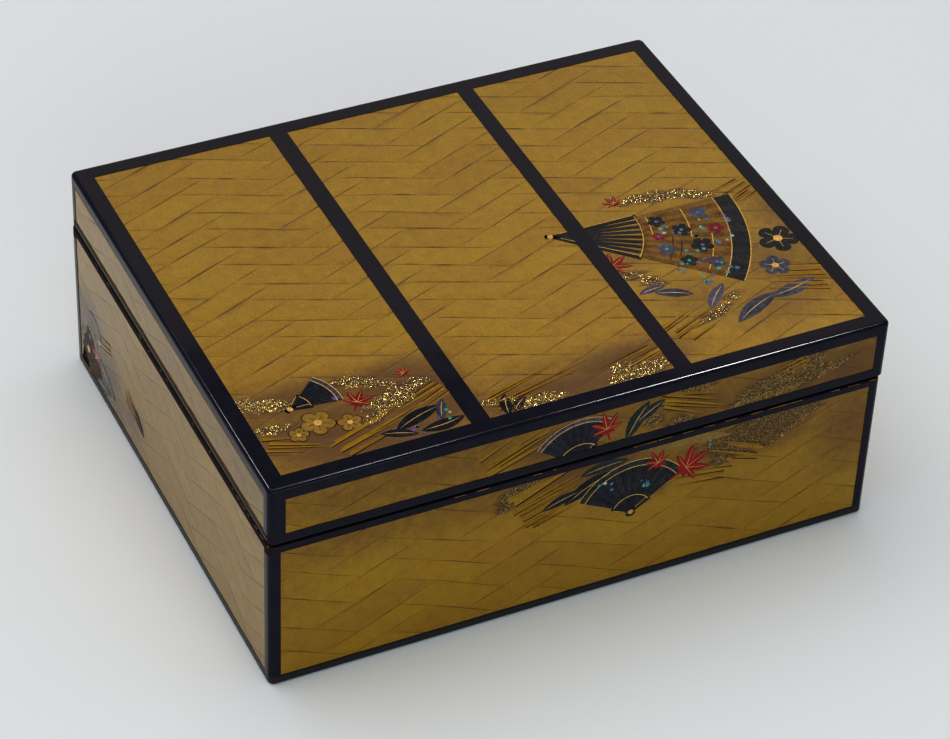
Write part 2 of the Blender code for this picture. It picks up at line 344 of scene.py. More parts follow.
    faces = [[v.index for v in f.verts] for f in bm.faces]
    bm.free()
    world = np.stack(np.broadcast_arrays(*place(pts[:, 0], pts[:, 1], pts[:, 2])), -1)
    builder.add(world, faces, 0, col)
    # the ground that shows in the dark lines
    gu = np.linspace(u0 - eps, u1 + eps, 24)
    gv = np.linspace(v0 - eps, v1 + eps, 16)
    U, V = np.meshgrid(gu, gv)
    H = np.full_like(U, -0.17)
    g = np.stack(np.broadcast_arrays(*place(U.ravel(), V.ravel(), H.ravel())), -1)
    gc = np.stack([np.full(U.size, 0.5), np.zeros(U.size), shade_at(group, U.ravel(), V.ravel())], -1)
    n = len(gu)
    gf = [(r * n + c, r * n + c + 1, (r + 1) * n + c + 1, (r + 1) * n + c)
          for r in range(len(gv) - 1) for c in range(n - 1)]
    builder.add(g, gf, 0, gc)


# ------------------------------------------------------------------ flat shapes for the picture
def clip_rect(poly, rect):
    """Keeps the part of a polygon inside (u0, u1, v0, v1)."""
    u0, u1, v0, v1 = rect
    for axis, lim, sign in ((0, u0, 1), (0, u1, -1), (1, v0, 1), (1, v1, -1)):
        out = []
        for a, b in zip(poly, poly[1:] + poly[:1]):
            ia, ib = sign * (a[axis] - lim) >= 0, sign * (b[axis] - lim) >= 0
            if ia:
                out.append(a)
            if ia != ib:
                t = (lim - a[axis]) / (b[axis] - a[axis])
                out.append((a[0] + t * (b[0] - a[0]), a[1] + t * (b[1] - a[1])))
        poly = out
        if len(poly) < 3:
            return []
    return poly


def area2(poly):
    return sum(a[0] * b[1] - b[0] * a[1] for a, b in zip(poly, poly[1:] + poly[:1]))


def plate(builder, place, poly, low, high, mat, rect=None, bevel=0.05, tint=(0.5, 1, 0)):
    """A thin raised plate with softened edges: the outline is a polygon in u, v. Layers keep their order, and
    the highest stays just under the face of the black border."""
    high = -0.004 - 0.35 * max(0.0, 0.11 - high)
    if rect is not None:
        poly = clip_rect([tuple(p) for p in poly], rect)
    clean = []
    for p in poly:
        if not clean or math.hypot(p[0] - clean[-1][0], p[1] - clean[-1][1]) > 0.012:
            clean.append(p)
    while len(clean) > 2 and math.hypot(clean[0][0] - clean[-1][0], clean[0][1] - clean[-1][1]) <= 0.012:
        clean.pop()
    if len(clean) < 3:
        return
    a2 = area2(clean)
    if abs(a2) < 0.01:
        return
    if a2 < 0:
        clean.reverse()
    n = len(clean)
    flare = min(0.6 * bevel, 0.045)
    outer = inward(clean, -flare)
    bm = bmesh.new()
    top_v = [bm.verts.new((p[0], p[1], high)) for p in clean]
    rim_v = [bm.verts.new((p[0], p[1], high - 1.1 * flare)) for p in outer]
    low_v = [bm.verts.new((p[0], p[1], low)) for p in outer]
    face = bm.faces.new(top_v)
    for i in range(n):
        j = (i + 1) % n
        bm.faces.new((rim_v[i], rim_v[j], top_v[j], top_v[i]))
        bm.faces.new((low_v[i], low_v[j], rim_v[j], rim_v[i]))
    face.normal_update()
    bmesh.ops.triangulate(bm, faces=[face])
    bm.verts.index_update()
    pts = np.array([v.co[:] for v in bm.verts])
    faces = [[v.index for v in f.verts] for f in bm.faces]
    bm.free()
    world = np.stack(np.broadcast_arrays(*place(pts[:, 0], pts[:, 1], pts[:, 2])), -1)
    builder.add(world, faces, mat, tint)


def inward(poly, d):
    """The outline moved inwards by d, or outwards if d is negative, with short mitres at sharp corners."""
    out = []
    n = len(poly)
    for i in range(n):
        (ax, ay), (bx, by), (cx, cy) = poly[i - 1], poly[i], poly[(i + 1) % n]
        l1, l2 = math.hypot(bx - ax, by - ay), math.hypot(cx - bx, cy - by)
        n1 = (-(by - ay) / l1, (bx - ax) / l1)
        n2 = (-(cy - by) / l2, (cx - bx) / l2)
        mx, my = n1[0] + n2[0], n1[1] + n2[1]
        m = math.hypot(mx, my)
        if m < 0.35:
            out.append((bx + n1[0] * d * 0.3, by + n1[1] * d * 0.3))
            continue
        mx, my = mx / m, my / m
        k = d / max(0.6, mx * n1[0] + my * n1[1])
        out.append((bx + mx * k, by + my * k))
    return out


def turn(points, centre, angle, scale=1.0):
    ca, sa = math.cos(math.radians(angle)) * scale, math.sin(math.radians(angle)) * scale
    return [(centre[0] + x * ca - y * sa, centre[1] + x * sa + y * ca) for x, y in points]


def maple(centre, size, angle):
    """Full seven-lobed leaf with a short stem."""
    lobes = ((-132, 0.46), (-90, 0.74), (-46, 0.94), (0, 1.0), (46, 0.94), (90, 0.74), (132, 0.46))
    pts = []
    for k in range(121):
        a = -158 + 316 * k / 120
        r = 0.30
        for c, size_k in lobes:
            d = abs(a - c) / 25.0
            if d < 1:
                r = max(r, size_k * (1 - 0.70 * d ** 0.85))
        r *= 1 + 0.035 * math.sin(a * 0.9)
        t = math.radians(a + 90)
        pts.append((r * math.cos(t), r * math.sin(t)))
    pts += [(-0.05, -0.26), (-0.03, -0.66), (0.03, -0.66), (0.05, -0.26)]
    return turn(pts, centre, angle, size)


def blossom(centre, size, angle, petals=5):
    pts = []
    for k in range(petals * 10):
        a = 2 * math.pi * k / (petals * 10)
        r = 0.60 + 0.40 * abs(math.sin(a * petals / 2)) ** 0.55
        pts.append((r * math.cos(a), r * math.sin(a)))
    return turn(pts, centre, angle, size)


def disc(centre, r, n=14):
    return [(centre[0] + r * math.cos(2 * math.pi * k / n), centre[1] + r * math.sin(2 * math.pi * k / n)) for k in range(n)]


def blade(centre, length, width, angle, bend=0.0, n=12, tip=1.0):
    """Long pointed leaf or sliver of bamboo."""
    up, down = [], []
    for k in range(n + 1):
        t = k / n
        w = width * 0.5 * (math.sin(math.pi * t ** tip) ** 0.8)
        x = (t - 0.5) * length
        y = bend * (1 - (2 * t - 1) ** 2)
        up.append((x, y + w))
        down.append((x, y - w))
    return turn(down + up[::-1][1:-1], centre, angle)


def strip_piece(p0, p1, width, taper0=0.0, taper1=1.0):
    """A loosened strip end from p0 to p1, pointed where the taper is 1."""
    dx, dy = p1[0] - p0[0], p1[1] - p0[1]
    L = math.hypot(dx, dy)
    nx, ny = -dy / L * width / 2, dx / L * width / 2
    a, b = 1 - taper0, 1 - taper1
    poly = [(p0[0] - nx * a, p0[1] - ny * a)]
    poly += [(p1[0] - nx * b, p1[1] - ny * b), (p1[0] + nx * b, p1[1] + ny * b)]
    poly += [(p0[0] + nx * a, p0[1] + ny * a)]
    return poly


def ring_arc(centre, r0, r1, a0, a1, n=24):
    out = [(centre[0] + r1 * math.cos(math.radians(a0 + (a1 - a0) * k / n)),
            centre[1] + r1 * math.sin(math.radians(a0 + (a1 - a0) * k / n))) for k in range(n + 1)]
    inn = [(centre[0] + r0 * math.cos(math.radians(a1 + (a0 - a1) * k / n)),
            centre[1] + r0 * math.sin(math.radians(a1 + (a0 - a1) * k / n))) for k in range(n + 1)]
    return out + inn


# ------------------------------------------------------------------ materials
def new_material(name):
    mat = bpy.data.materials.new(name)
    mat.use_nodes = True
    nt = mat.node_tree
    nt.nodes.clear()
    out = nt.nodes.new("ShaderNodeOutputMaterial")
    bsdf = nt.nodes.new("ShaderNodeBsdfPrincipled")
    nt.links.new(bsdf.outputs[0], out.inputs[0])
    return mat, nt, bsdf


class Net:
    """Short names for the nodes of one material."""

    def __init__(self, nt):
        self.nt = nt
        self.coord = nt.nodes.new("ShaderNodeTexCoord").outputs["Object"]

    def link(self, a, b):
        self.nt.links.new(a, b)

    def mapping(self, scale=(1, 1, 1), rot=(0, 0, 0), loc=(0, 0, 0)):
        n = self.nt.nodes.new("ShaderNodeMapping")
        n.inputs["Scale"].default_value = scale
        n.inputs["Rotation"].default_value = [math.radians(r) for r in rot]
        n.inputs["Location"].default_value = loc
        self.link(self.coord, n.inputs["Vector"])
        return n.outputs[0]

    def noise(self, scale, detail=3.0, rough=0.5, vec=None, dist=0.0):
        n = self.nt.nodes.new("ShaderNodeTexNoise")
        n.inputs["Scale"].default_value = scale
        n.inputs["Detail"].default_value = detail
        n.inputs["Roughness"].default_value = rough
        n.inputs["Distortion"].default_value = dist
        self.link(vec or self.coord, n.inputs["Vector"])
        return n.outputs["Fac"]

    def voronoi(self, scale, feature='F1', vec=None):
        n = self.nt.nodes.new("ShaderNodeTexVoronoi")
        n.feature = feature
        n.inputs["Scale"].default_value = scale
        self.link(vec or self.coord, n.inputs["Vector"])
        return n

    def math(self, op, a, b=0.0, clamp=False):
        n = self.nt.nodes.new("ShaderNodeMath")
        n.operation = op
        n.use_clamp = clamp
        for k, x in enumerate((a, b)):
            if isinstance(x, (int, float)):
                n.inputs[k].default_value = x
            else:
                self.link(x, n.inputs[k])
        return n.outputs[0]

    def remap(self, x, a, b, c=0.0, d=1.0, smooth=False):
        n = self.nt.nodes.new("ShaderNodeMapRange")
        if smooth:
            n.interpolation_type = 'SMOOTHSTEP'
        self.link(x, n.inputs[0])
        for k, val in enumerate((a, b, c, d)):
            n.inputs[k + 1].default_value = val
        return n.outputs[0]

    def mix(self, fac, a, b, mode='MIX'):
        n = self.nt.nodes.new("ShaderNodeMix")
        n.data_type = 'RGBA'
        n.blend_type = mode
        n.clamp_factor = True
        if isinstance(fac, (int, float)):
            n.inputs[0].default_value = fac
        else:
            self.link(fac, n.inputs[0])
        for k, x in ((6, a), (7, b)):
            if isinstance(x, tuple):
                n.inputs[k].default_value = (*x, 1.0)
            else:
                self.link(x, n.inputs[k])
        return n.outputs[2]

    def attribute(self, name):
        n = self.nt.nodes.new("ShaderNodeAttribute")
        n.attribute_name = name
        sep = self.nt.nodes.new("ShaderNodeSeparateColor")
        self.link(n.outputs["Color"], sep.inputs[0])
        return sep.outputs

    def grey(self, x):
        n = self.nt.nodes.new("ShaderNodeCombineColor")
        for k in range(3):
            self.link(x, n.inputs[k])
        return n.outputs[0]

    def bump(self, height, strength, distance, normal=None):
        n = self.nt.nodes.new("ShaderNodeBump")
        n.inputs["Strength"].default_value = strength
        n.inputs["Distance"].default_value = distance
        self.link(height, n.inputs["Height"])
        if normal is not None:
            self.link(normal, n.inputs["Normal"])
        return n.outputs[0]


COAT_IOR = 1.30


def gold_weave_material():
    mat, nt, bsdf = new_material("gold_weave")
    n = Net(nt)
    tone, edge, shade = n.attribute("wv")
    cloud = n.noise(70, 3, 0.55)
    mottle = n.noise(420, 4, 0.6)
    grain = n.noise(3000, 3, 0.7)
    powder = n.noise(6500, 2, 0.6)
    hair = n.noise(1.0, 2, 0.5, n.mapping(scale=(5200, 420, 5200), rot=(0, 0, -22)))
    warm = n.math('ADD', n.math('MULTIPLY', tone, 0.20), n.math('MULTIPLY', cloud, 0.40))
    warm = n.math('ADD', warm, n.math('MULTIPLY', mottle, 0.40))
    warm = n.remap(warm, 0.30, 0.72)
    base = n.mix(warm, (0.302, 0.158, 0.0040), (0.326, 0.196, 0.0044))
    value = n.math('ADD', n.math('MULTIPLY', n.math('SUBTRACT', grain, 0.5), 1.0),
                   n.math('MULTIPLY', n.math('SUBTRACT', hair, 0.5), 0.16))
    value = n.math('ADD', value, n.math('MULTIPLY', n.math('SUBTRACT', powder, 0.5), 0.55))
    value = n.math('ADD', value, n.math('MULTIPLY', n.math('SUBTRACT', mottle, 0.5), 0.32))
    value = n.math('ADD', value, n.math('MULTIPLY', n.math('SUBTRACT', tone, 0.5), 0.06))
    value = n.math('ADD', value, 1.0)
    base = n.mix(1.0, base, n.grey(value), 'MULTIPLY')
    # brown sprinkled shading around the pictures; where the broad bands of SHADES lie it is painted shade
    sh = n.math('ADD', shade, n.math('MULTIPLY', n.math('SUBTRACT', n.noise(620, 4, 0.7), 0.5), 0.55))
    sh = n.math('MULTIPLY', n.remap(sh, 0.08, 0.98, smooth=True), n.remap(shade, 0.02, 0.15))
    sh = n.math('MULTIPLY', sh, n.remap(shade, 0.9, 1.4, 0.82, 0.97))
    base = n.mix(sh, base, n.mix(mottle, (0.120, 0.043, 0.004), (0.088, 0.034, 0.005)))
    deep = n.remap(n.math('ADD', shade, n.math('MULTIPLY', n.math('SUBTRACT', mottle, 0.5), 0.5)), 1.05, 1.35)
    base = n.mix(n.math('MULTIPLY', deep, 0.85), base, (0.058, 0.028, 0.007))
    # brown beside the dark lines and at the strip ends
    ragged = n.math('ADD', edge, n.math('MULTIPLY', n.math('SUBTRACT', n.noise(1300, 3, 0.6), 0.5), 0.30))
    near = n.remap(ragged, 0.10, 0.98, smooth=True)
    base = n.mix(near, (0.150, 0.072, 0.013), base)
    n.link(base, bsdf.inputs["Base Color"])
    bsdf.inputs["Metallic"].default_value = 0.25
    rough = n.remap(grain, 0.3, 0.7, 0.40, 0.55)
    n.link(rough, bsdf.inputs["Roughness"])
    bsdf.inputs["Specular IOR Level"].default_value = 0.3
    bsdf.inputs["Coat Weight"].default_value = 1.0
    bsdf.inputs["Coat Roughness"].default_value = 0.09
    bsdf.inputs["Coat IOR"].default_value = COAT_IOR
    b = n.bump(grain, 0.30, 0.00003)
    b = n.bump(mottle, 0.22, 0.00005, b)
    n.link(b, bsdf.inputs["Normal"])
    return mat


def black_lacquer_material(name, inside=None, rim=None, foot=0.0, tint=(0.0095, 0.0090, 0.0200)):
    """Polished black lacquer. inside = (x half, y half, x middle, y middle, z low, z high) in millimetres of the
    hollow: its walls are sprinkled with fine gold over red-brown."""
    mat, nt, bsdf = new_material(name)
    n = Net(nt)
    wave = n.noise(95, 2, 0.5)
    fine = n.noise(1500, 3, 0.6)
    smear = n.noise(230, 4, 0.65)
    base = n.mix(n.remap(smear, 0.35, 0.75), tint, (0.0150, 0.0130, 0.0270))
    dust = n.voronoi(900)
    speck = n.math('MULTIPLY', n.math('LESS_THAN', dust.outputs["Distance"], 0.14),
                   n.math('GREATER_THAN', n.noise(700, 1, 0.5), 0.66))
    base = n.mix(n.math('MULTIPLY', speck, 0.25), base, (0.10, 0.09, 0.085))
    rough = n.remap(smear, 0.3, 0.8, 0.045, 0.11)
    if rim is not None:
        # near the seam the black is painted brown and made matte in patches: painted shade in the seam, with wear
        zz = nt.nodes.new("ShaderNodeSeparateXYZ")
        n.link(n.coord, zz.inputs[0])
        away = n.math('ABSOLUTE', n.math('SUBTRACT', zz.outputs[2], rim[0] * MM))
        near = n.remap(away, rim[1] * MM, rim[1] * 0.35 * MM)
        # on the left end the whole border at the seam is painted brown and matte: painted shade for how the light falls
        # on that end
        left = n.math('MULTIPLY', n.remap(away, rim[1] * 1.9 * MM, rim[1] * 1.5 * MM), n.math('LESS_THAN', zz.outputs[0], -0.0592))
        near = n.math('MAXIMUM', near, left)
        if len(rim) > 2:
            # a narrow band there is left polished, out of the painted shade
            kept = n.math('MULTIPLY', n.math('GREATER_THAN', zz.outputs[2], rim[2] * MM), n.math('LESS_THAN', zz.outputs[2], rim[3] * MM))
            kept = n.math('MULTIPLY', kept, n.math('LESS_THAN', zz.outputs[0], -0.0592))
            near = n.math('MULTIPLY', near, n.math('SUBTRACT', 1.0, kept))
        seam_shade_and_wear = n.math('ADD', near, n.math('MULTIPLY', n.math('SUBTRACT', n.noise(330, 4, 0.65), 0.5), 0.8))
        seam_shade_and_wear = n.math('MULTIPLY', n.remap(seam_shade_and_wear, 0.25, 0.80, smooth=True), n.remap(near, 0.0, 0.3))
        # on the front the painted shade and wear are weaker
        front = n.math('MULTIPLY', n.math('LESS_THAN', zz.outputs[1], -48.4 * MM), n.math('GREATER_THAN', zz.outputs[0], -0.0592))
        seam_shade_and_wear = n.math('MULTIPLY', seam_shade_and_wear, n.math('SUBTRACT', 1.0, n.math('MULTIPLY', front, 0.78)))
        base = n.mix(n.math('MULTIPLY', seam_shade_and_wear, 0.85), base, (0.034, 0.020, 0.017))
        rough = n.math('ADD', rough, n.math('MULTIPLY', seam_shade_and_wear, 0.80))
        # and there a brown-gold band is painted on the border beside each field: painted sheen standing in for the
        # reflection on that end's borders
        painted_sheen_band = n.math('MULTIPLY', n.remap(away, rim[1] * 1.2 * MM, rim[1] * 1.6 * MM), n.math('LESS_THAN', away, 2.45 * MM))
        if len(rim) > 2:
            high = n.math('MULTIPLY', n.remap(zz.outputs[2], 43.35 * MM, 43.05 * MM), n.math('GREATER_THAN', zz.outputs[2], 42.0 * MM))
            painted_sheen_band = n.math('MAXIMUM', painted_sheen_band, high)
        painted_sheen_band = n.math('MULTIPLY', painted_sheen_band, n.math('LESS_THAN', zz.outputs[0], -0.0592))
        painted_sheen_band = n.math('MULTIPLY', painted_sheen_band, n.math('LESS_THAN', n.math('ABSOLUTE', zz.outputs[1]), 46.9 * MM))
        base = n.mix(n.math('MULTIPLY', painted_sheen_band, 0.8), base, (0.130, 0.078, 0.024))
        rough = n.math('ADD', rough, n.math('MULTIPLY', painted_sheen_band, 0.30))
    # near the foot the black is painted lighter grey and made rougher: a painted reflection of the pale floor
    if foot > 0:
        zf = nt.nodes.new("ShaderNodeSeparateXYZ")
        n.link(n.coord, zf.inputs[0])
        foot_floor_reflection = n.remap(n.math('ADD', zf.outputs[2], n.math('MULTIPLY', n.math('SUBTRACT', smear, 0.5), 0.001)), foot * MM, foot * 0.6 * MM)
        base = n.mix(n.math('MULTIPLY', foot_floor_reflection, 0.9), base, (0.030, 0.031, 0.033))
        rough = n.math('ADD', rough, n.math('MULTIPLY', foot_floor_reflection, 0.30))
    if inside is not None:
        hx, hy, cx, cy, z0, z1 = [v * MM for v in inside]
        sep = nt.nodes.new("ShaderNodeSeparateXYZ")
        n.link(n.coord, sep.inputs[0])
        m = n.math('LESS_THAN', n.math('ABSOLUTE', n.math('SUBTRACT', sep.outputs[0], cx)), hx)
        m = n.math('MULTIPLY', m, n.math('LESS_THAN', n.math('ABSOLUTE', n.math('SUBTRACT', sep.outputs[1], cy)), hy))
        m = n.math('MULTIPLY', m, n.math('GREATER_THAN', sep.outputs[2], z0))
        m = n.math('MULTIPLY', m, n.math('LESS_THAN', sep.outputs[2], z1))
        cells = n.voronoi(1500)
        chip = n.math('LESS_THAN', cells.outputs["Distance"], 0.33)
        sepc = nt.nodes.new("ShaderNodeSeparateColor")
        n.link(cells.outputs["Color"], sepc.inputs[0])
        chip = n.math('MULTIPLY', chip, n.math('GREATER_THAN', sepc.outputs[0], 0.35))
        gold = n.mix(sepc.outputs[1], (0.42, 0.21, 0.035), (0.62, 0.37, 0.09))
        lining = n.mix(chip, n.mix(cloudy(n), (0.030, 0.010, 0.004), (0.050, 0.016, 0.006)), gold)
        base = n.mix(m, base, lining)
        n.link(n.math('MULTIPLY', n.math('MULTIPLY', m, chip), 0.8), bsdf.inputs["Metallic"])
    n.link(base, bsdf.inputs["Base Color"])
    n.link(rough, bsdf.inputs["Roughness"])
    bsdf.inputs["IOR"].default_value = COAT_IOR
    b = n.bump(wave, 0.20, 0.00012)
    b = n.bump(fine, 0.05, 0.00001, b)
    n.link(b, bsdf.inputs["Normal"])
    return mat


def cloudy(n):
    return n.remap(n.noise(160, 3, 0.6), 0.3, 0.7)


def inlay_material(name, dark, light, metallic, rough, bump=0.25, scale=900, dust=0.0, coat=1.0):
    mat, nt, bsdf = new_material(name)
    n = Net(nt)
    tone, edge, shade = n.attribute("wv")
    a = n.noise(scale, 4, 0.65)
    b = n.noise(scale * 0.22, 3, 0.6)
    fac = n.math('ADD', n.math('MULTIPLY', a, 0.6), n.math('MULTIPLY', b, 0.4))
    fac = n.math('ADD', fac, n.math('MULTIPLY', n.math('SUBTRACT', tone, 0.5), 0.35))
    fac = n.remap(fac, 0.32, 0.68)
    base = n.mix(fac, dark, light)
    if dust > 0:
        specks = n.voronoi(2600)
        here = n.math('LESS_THAN', specks.outputs["Distance"], 0.30)
        thick = n.remap(n.math('ADD', b, n.math('MULTIPLY', n.math('SUBTRACT', n.noise(900, 3, 0.6), 0.5), 0.8)), 0.42, 0.66)
        base = n.mix(n.math('MULTIPLY', n.math('MULTIPLY', here, thick), dust), base, (0.30, 0.17, 0.035))
    n.link(base, bsdf.inputs["Base Color"])
    bsdf.inputs["Metallic"].default_value = metallic
    bsdf.inputs["IOR"].default_value = 1.05
    n.link(n.remap(a, 0.3, 0.7, rough * 0.8, min(rough * 1.25, 1.0)), bsdf.inputs["Roughness"])
    bsdf.inputs["Coat Weight"].default_value = coat
    bsdf.inputs["Coat Roughness"].default_value = 0.08
    bsdf.inputs["Coat IOR"].default_value = COAT_IOR
    n.link(n.bump(a, bump, 0.00003), bsdf.inputs["Normal"])
    return mat


def shell_material():
    """Mother-of-pearl chips: each chip's colour runs from violet through blue to green."""
    mat, nt, bsdf = new_material("shell_chip")
    n = Net(nt)
    tone, edge, shade = n.attribute("wv")
    a = n.noise(1400, 3, 0.6)
    t = n.math('ADD', tone, n.math('MULTIPLY', n.math('SUBTRACT', a, 0.5), 0.5))
    c = n.mix(n.remap(t, 0.0, 0.4), (0.26, 0.09, 0.34), (0.06, 0.13, 0.36))
    c = n.mix(n.remap(t, 0.4, 0.75), c, (0.05, 0.36, 0.27))
    c = n.mix(n.remap(t, 0.8, 1.0), c, (0.45, 0.55, 0.50))
    n.link(c, bsdf.inputs["Base Color"])
    bsdf.inputs["Metallic"].default_value = 0.55
    bsdf.inputs["Roughness"].default_value = 0.22
    bsdf.inputs["Coat Weight"].default_value = 1.0
    bsdf.inputs["Coat Roughness"].default_value = 0.05
    bsdf.inputs["Coat IOR"].default_value = COAT_IOR
    n.link(n.bump(a, 0.2, 0.00003), bsdf.inputs["Normal"])
    return mat


def flake_material():
    mat, nt, bsdf = new_material("gold_flake")
    n = Net(nt)
    tone, edge, shade = n.attribute("wv")
    c = n.mix(tone, (0.34, 0.212, 0.048), (0.70, 0.54, 0.21))
    n.link(c, bsdf.inputs["Base Color"])
    bsdf.inputs["Metallic"].default_value = 1.0
    n.link(n.remap(n.noise(2500, 2, 0.5), 0.3, 0.7, 0.20, 0.38), bsdf.inputs["Roughness"])
    bsdf.inputs["Coat Weight"].default_value = 0.5
    bsdf.inputs["Coat Roughness"].default_value = 0.06
    bsdf.inputs["Coat IOR"].default_value = COAT_IOR
    return mat


GOLD_WEAVE = gold_weave_material()
BLACK_BODY = black_lacquer_material("black_lacquer_body", (56.35, 45.55, -0.3, 0.0, 2.7, 36.0), (LEDGE, 1.25), foot=2.2)
BLACK_LID = black_lacquer_material("black_lacquer_lid", (58.25, 47.35, 0.0, -0.17, 33.3, 42.7), (LEDGE + 0.3, 1.15, 33.55, 33.95))
BLACK_TRAY = black_lacquer_material("tray_lacquer", (54.3, 43.5, -0.3, 0.0, 27.7, 37.5))
CHARCOAL = inlay_material("inlay_charcoal", (0.006, 0.007, 0.012), (0.024, 0.028, 0.042), 0.15, 0.22, scale=1100, dust=0.35)
SLATE = inlay_material("inlay_slate", (0.030, 0.034, 0.060), (0.115, 0.118, 0.185), 0.25, 0.30, scale=1500, dust=0.55)
RED = inlay_material("inlay_vermilion", (0.120, 0.006, 0.008), (0.33, 0.016, 0.018), 0.0, 0.30, scale=1200)
BROWN = inlay_material("inlay_brown", (0.085, 0.036, 0.010), (0.26, 0.135, 0.025), 0.25, 0.35, scale=1500, dust=0.8)
OLIVE = inlay_material("inlay_olive", (0.16, 0.10, 0.028), (0.30, 0.20, 0.060), 0.25, 0.38, scale=1300)
GOLD_LINE = inlay_material("inlay_gold_line", (0.42, 0.23, 0.045), (0.80, 0.52, 0.17), 0.85, 0.32, scale=2200)
TEAL = inlay_material("inlay_teal", (0.010, 0.020, 0.022), (0.030, 0.055, 0.052), 0.2, 0.28, scale=1500, dust=0.35)
UMBER = inlay_material("inlay_umber", (0.022, 0.011, 0.007), (0.060, 0.028, 0.012), 0.0, 0.55, scale=1500, coat=0.0)
PLUM = inlay_material("inlay_plum", (0.045, 0.020, 0.012), (0.100, 0.046, 0.026), 0.0, 0.45, scale=1500, coat=0.42)
PALE = inlay_material("inlay_pale", (0.240, 0.135, 0.022), (0.370, 0.235, 0.055), 0.25, 0.42, scale=1600)
PINE = inlay_material("strip_loose", (0.215, 0.110, 0.008), (0.335, 0.195, 0.016), 0.25, 0.45, scale=1300)
SHELL = shell_material()
FLAKE = flake_material()
INLAY_MATS = [CHARCOAL, SLATE, RED, BROWN, OLIVE, GOLD_LINE, TEAL, PALE, PINE, SHELL, FLAKE, UMBER, PLUM]
(M_CHAR, M_SLATE, M_RED, M_BROWN, M_OLIVE, M_GOLD, M_TEAL, M_PALE, M_STRIP, M_SHELL, M_FLAKE, M_UMBER, M_PLUM) = range(13)


# ------------------------------------------------------------------ CAD nodes keep their shape and get lacquer
for name, mat in (("box_body", BLACK_BODY), ("lid", BLACK_LID), ("tray", BLACK_TRAY)):
    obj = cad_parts[name]
    if not obj.material_slots:
        obj.data.materials.append(mat)
    for s in obj.material_slots:
        s.material = mat
    obj.data.shade_smooth()
    weld = obj.modifiers.new("weld", 'WELD')
    weld.merge_threshold = 0.000001
    split = obj.modifiers.new("split", 'EDGE_SPLIT')
    split.split_angle = math.radians(40)
    wn = obj.modifiers.new("normals", 'WEIGHTED_NORMAL')
    wn.keep_sharp = True
    wn.weight = 80


# ------------------------------------------------------------------ the plaited gold fields
WEAVES = {
    "top": dict(pitch=5.7, slope=0.400, ca=1.32, cb=5.26, k0=0, depth=1.0),
    "front": dict(pitch=5.9, slope=0.420, ca=2.53, cb=1.13, k0=-2, depth=0.72),
    "left": dict(pitch=5.5, slope=0.420, ca=1.40, cb=4.40, k0=2, depth=0.62),
    "right": dict(pitch=5.7, slope=0.410, ca=0.60, cb=2.40, k0=1, depth=0.72),
    "back": dict(pitch=5.8, slope=0.415, ca=3.10, cb=0.70, k0=3, depth=0.80),
}
lid_top_weave, lid_side_weave, body_weave = Builder(), Builder(), Builder()
for name, (place, rect) in PANELS.items():
    part, side = name.split("_")[:2]
    target = lid_top_weave if side == "top" else lid_side_weave if part == "lid" else body_weave
    seed = {"top": 11, "front": 23, "left": 37, "right": 41, "back": 53}[side]
    strips(target, place, rect, side, seed=seed, **WEAVES[side])
lid_top_weave.finish("lid_top_weave", [GOLD_WEAVE], "gold_weave", smooth=32)
lid_side_weave.finish("lid_side_weave", [GOLD_WEAVE], "gold_weave", smooth=32)
body_weave.finish("body_weave", [GOLD_WEAVE], "gold_weave", smooth=32)


# ------------------------------------------------------------------ the pictures
LOW, HIGH = -0.12, -0.035


def fan(b, place, pivot, a0, a1, r0, r1, r2, rect=None, ribs=9, leaf=M_BROWN, rib=M_CHAR, band=M_CHAR, high=HIGH, gold=True):
    """A half-open folding fan: flat ribs from the rivet and a pleated leaf with a border band."""
    folds = ribs * 2
    for k in range(ribs + 1):
        a = a0 + (a1 - a0) * k / ribs
        ca, sa = math.cos(math.radians(a)), math.sin(math.radians(a))
        w0, w1 = 0.55, 0.85 if k not in (0, ribs) else 1.15
        p0 = (pivot[0] + ca * -1.0, pivot[1] + sa * -1.0)
        p1 = (pivot[0] + ca * (r1 + 0.5), pivot[1] + sa * (r1 + 0.5))
        nx, ny = -sa, ca
        poly = [(p0[0] - nx * w0 / 2, p0[1] - ny * w0 / 2), (p1[0] - nx * w1 / 2, p1[1] - ny * w1 / 2),
                (p1[0] + nx * w1 / 2, p1[1] + ny * w1 / 2), (p0[0] + nx * w0 / 2, p0[1] + ny * w0 / 2)]
        plate(b, place, poly, LOW, high + 0.004 * (k % 3), rib, rect, 0.04, tint=(0.3 + 0.1 * (k % 4), 1, 0))
        if gold and k in (0, ribs):
            q = strip_piece((pivot[0] + ca * r0 + nx * 0.3, pivot[1] + sa * r0 + ny * 0.3),
                            (pivot[0] + ca * r1 + nx * 0.45, pivot[1] + sa * r1 + ny * 0.45), 0.16, 0.2, 0.2)
            plate(b, place, q, LOW, high + 0.02, M_GOLD, rect, 0.02)
    for k in range(folds):
        s0, s1 = a0 + (a1 - a0) * k / folds, a0 + (a1 - a0) * (k + 1) / folds
        up = high + (0.012 if k % 2 else 0.0)
        # alternate pleats are given a lighter and a darker tone: painted light and shade on the folds
        plate(b, place, ring_arc(pivot, r1, r2, s0, s1, 3), LOW, up, leaf, rect, 0.03, tint=(0.35 if k % 2 else 0.75, 1, 0))
        plate(b, place, ring_arc(pivot, r2 - (r2 - r1) * 0.18, r2 - 0.25, s0, s1, 3), LOW, up + 0.01, band, rect, 0.02,
              tint=(0.3 if k % 2 else 0.6, 1, 0))
    if gold:
        for r in (r2 - 0.10, r2 - (r2 - r1) * 0.18, r1 + 0.15):
            plate(b, place, ring_arc(pivot, r - 0.09, r + 0.09, a0, a1, 30), LOW, high + 0.026, M_GOLD, rect, 0.02)
    plate(b, place, disc(pivot, 0.55), LOW, high + 0.05, M_GOLD, rect, 0.05)


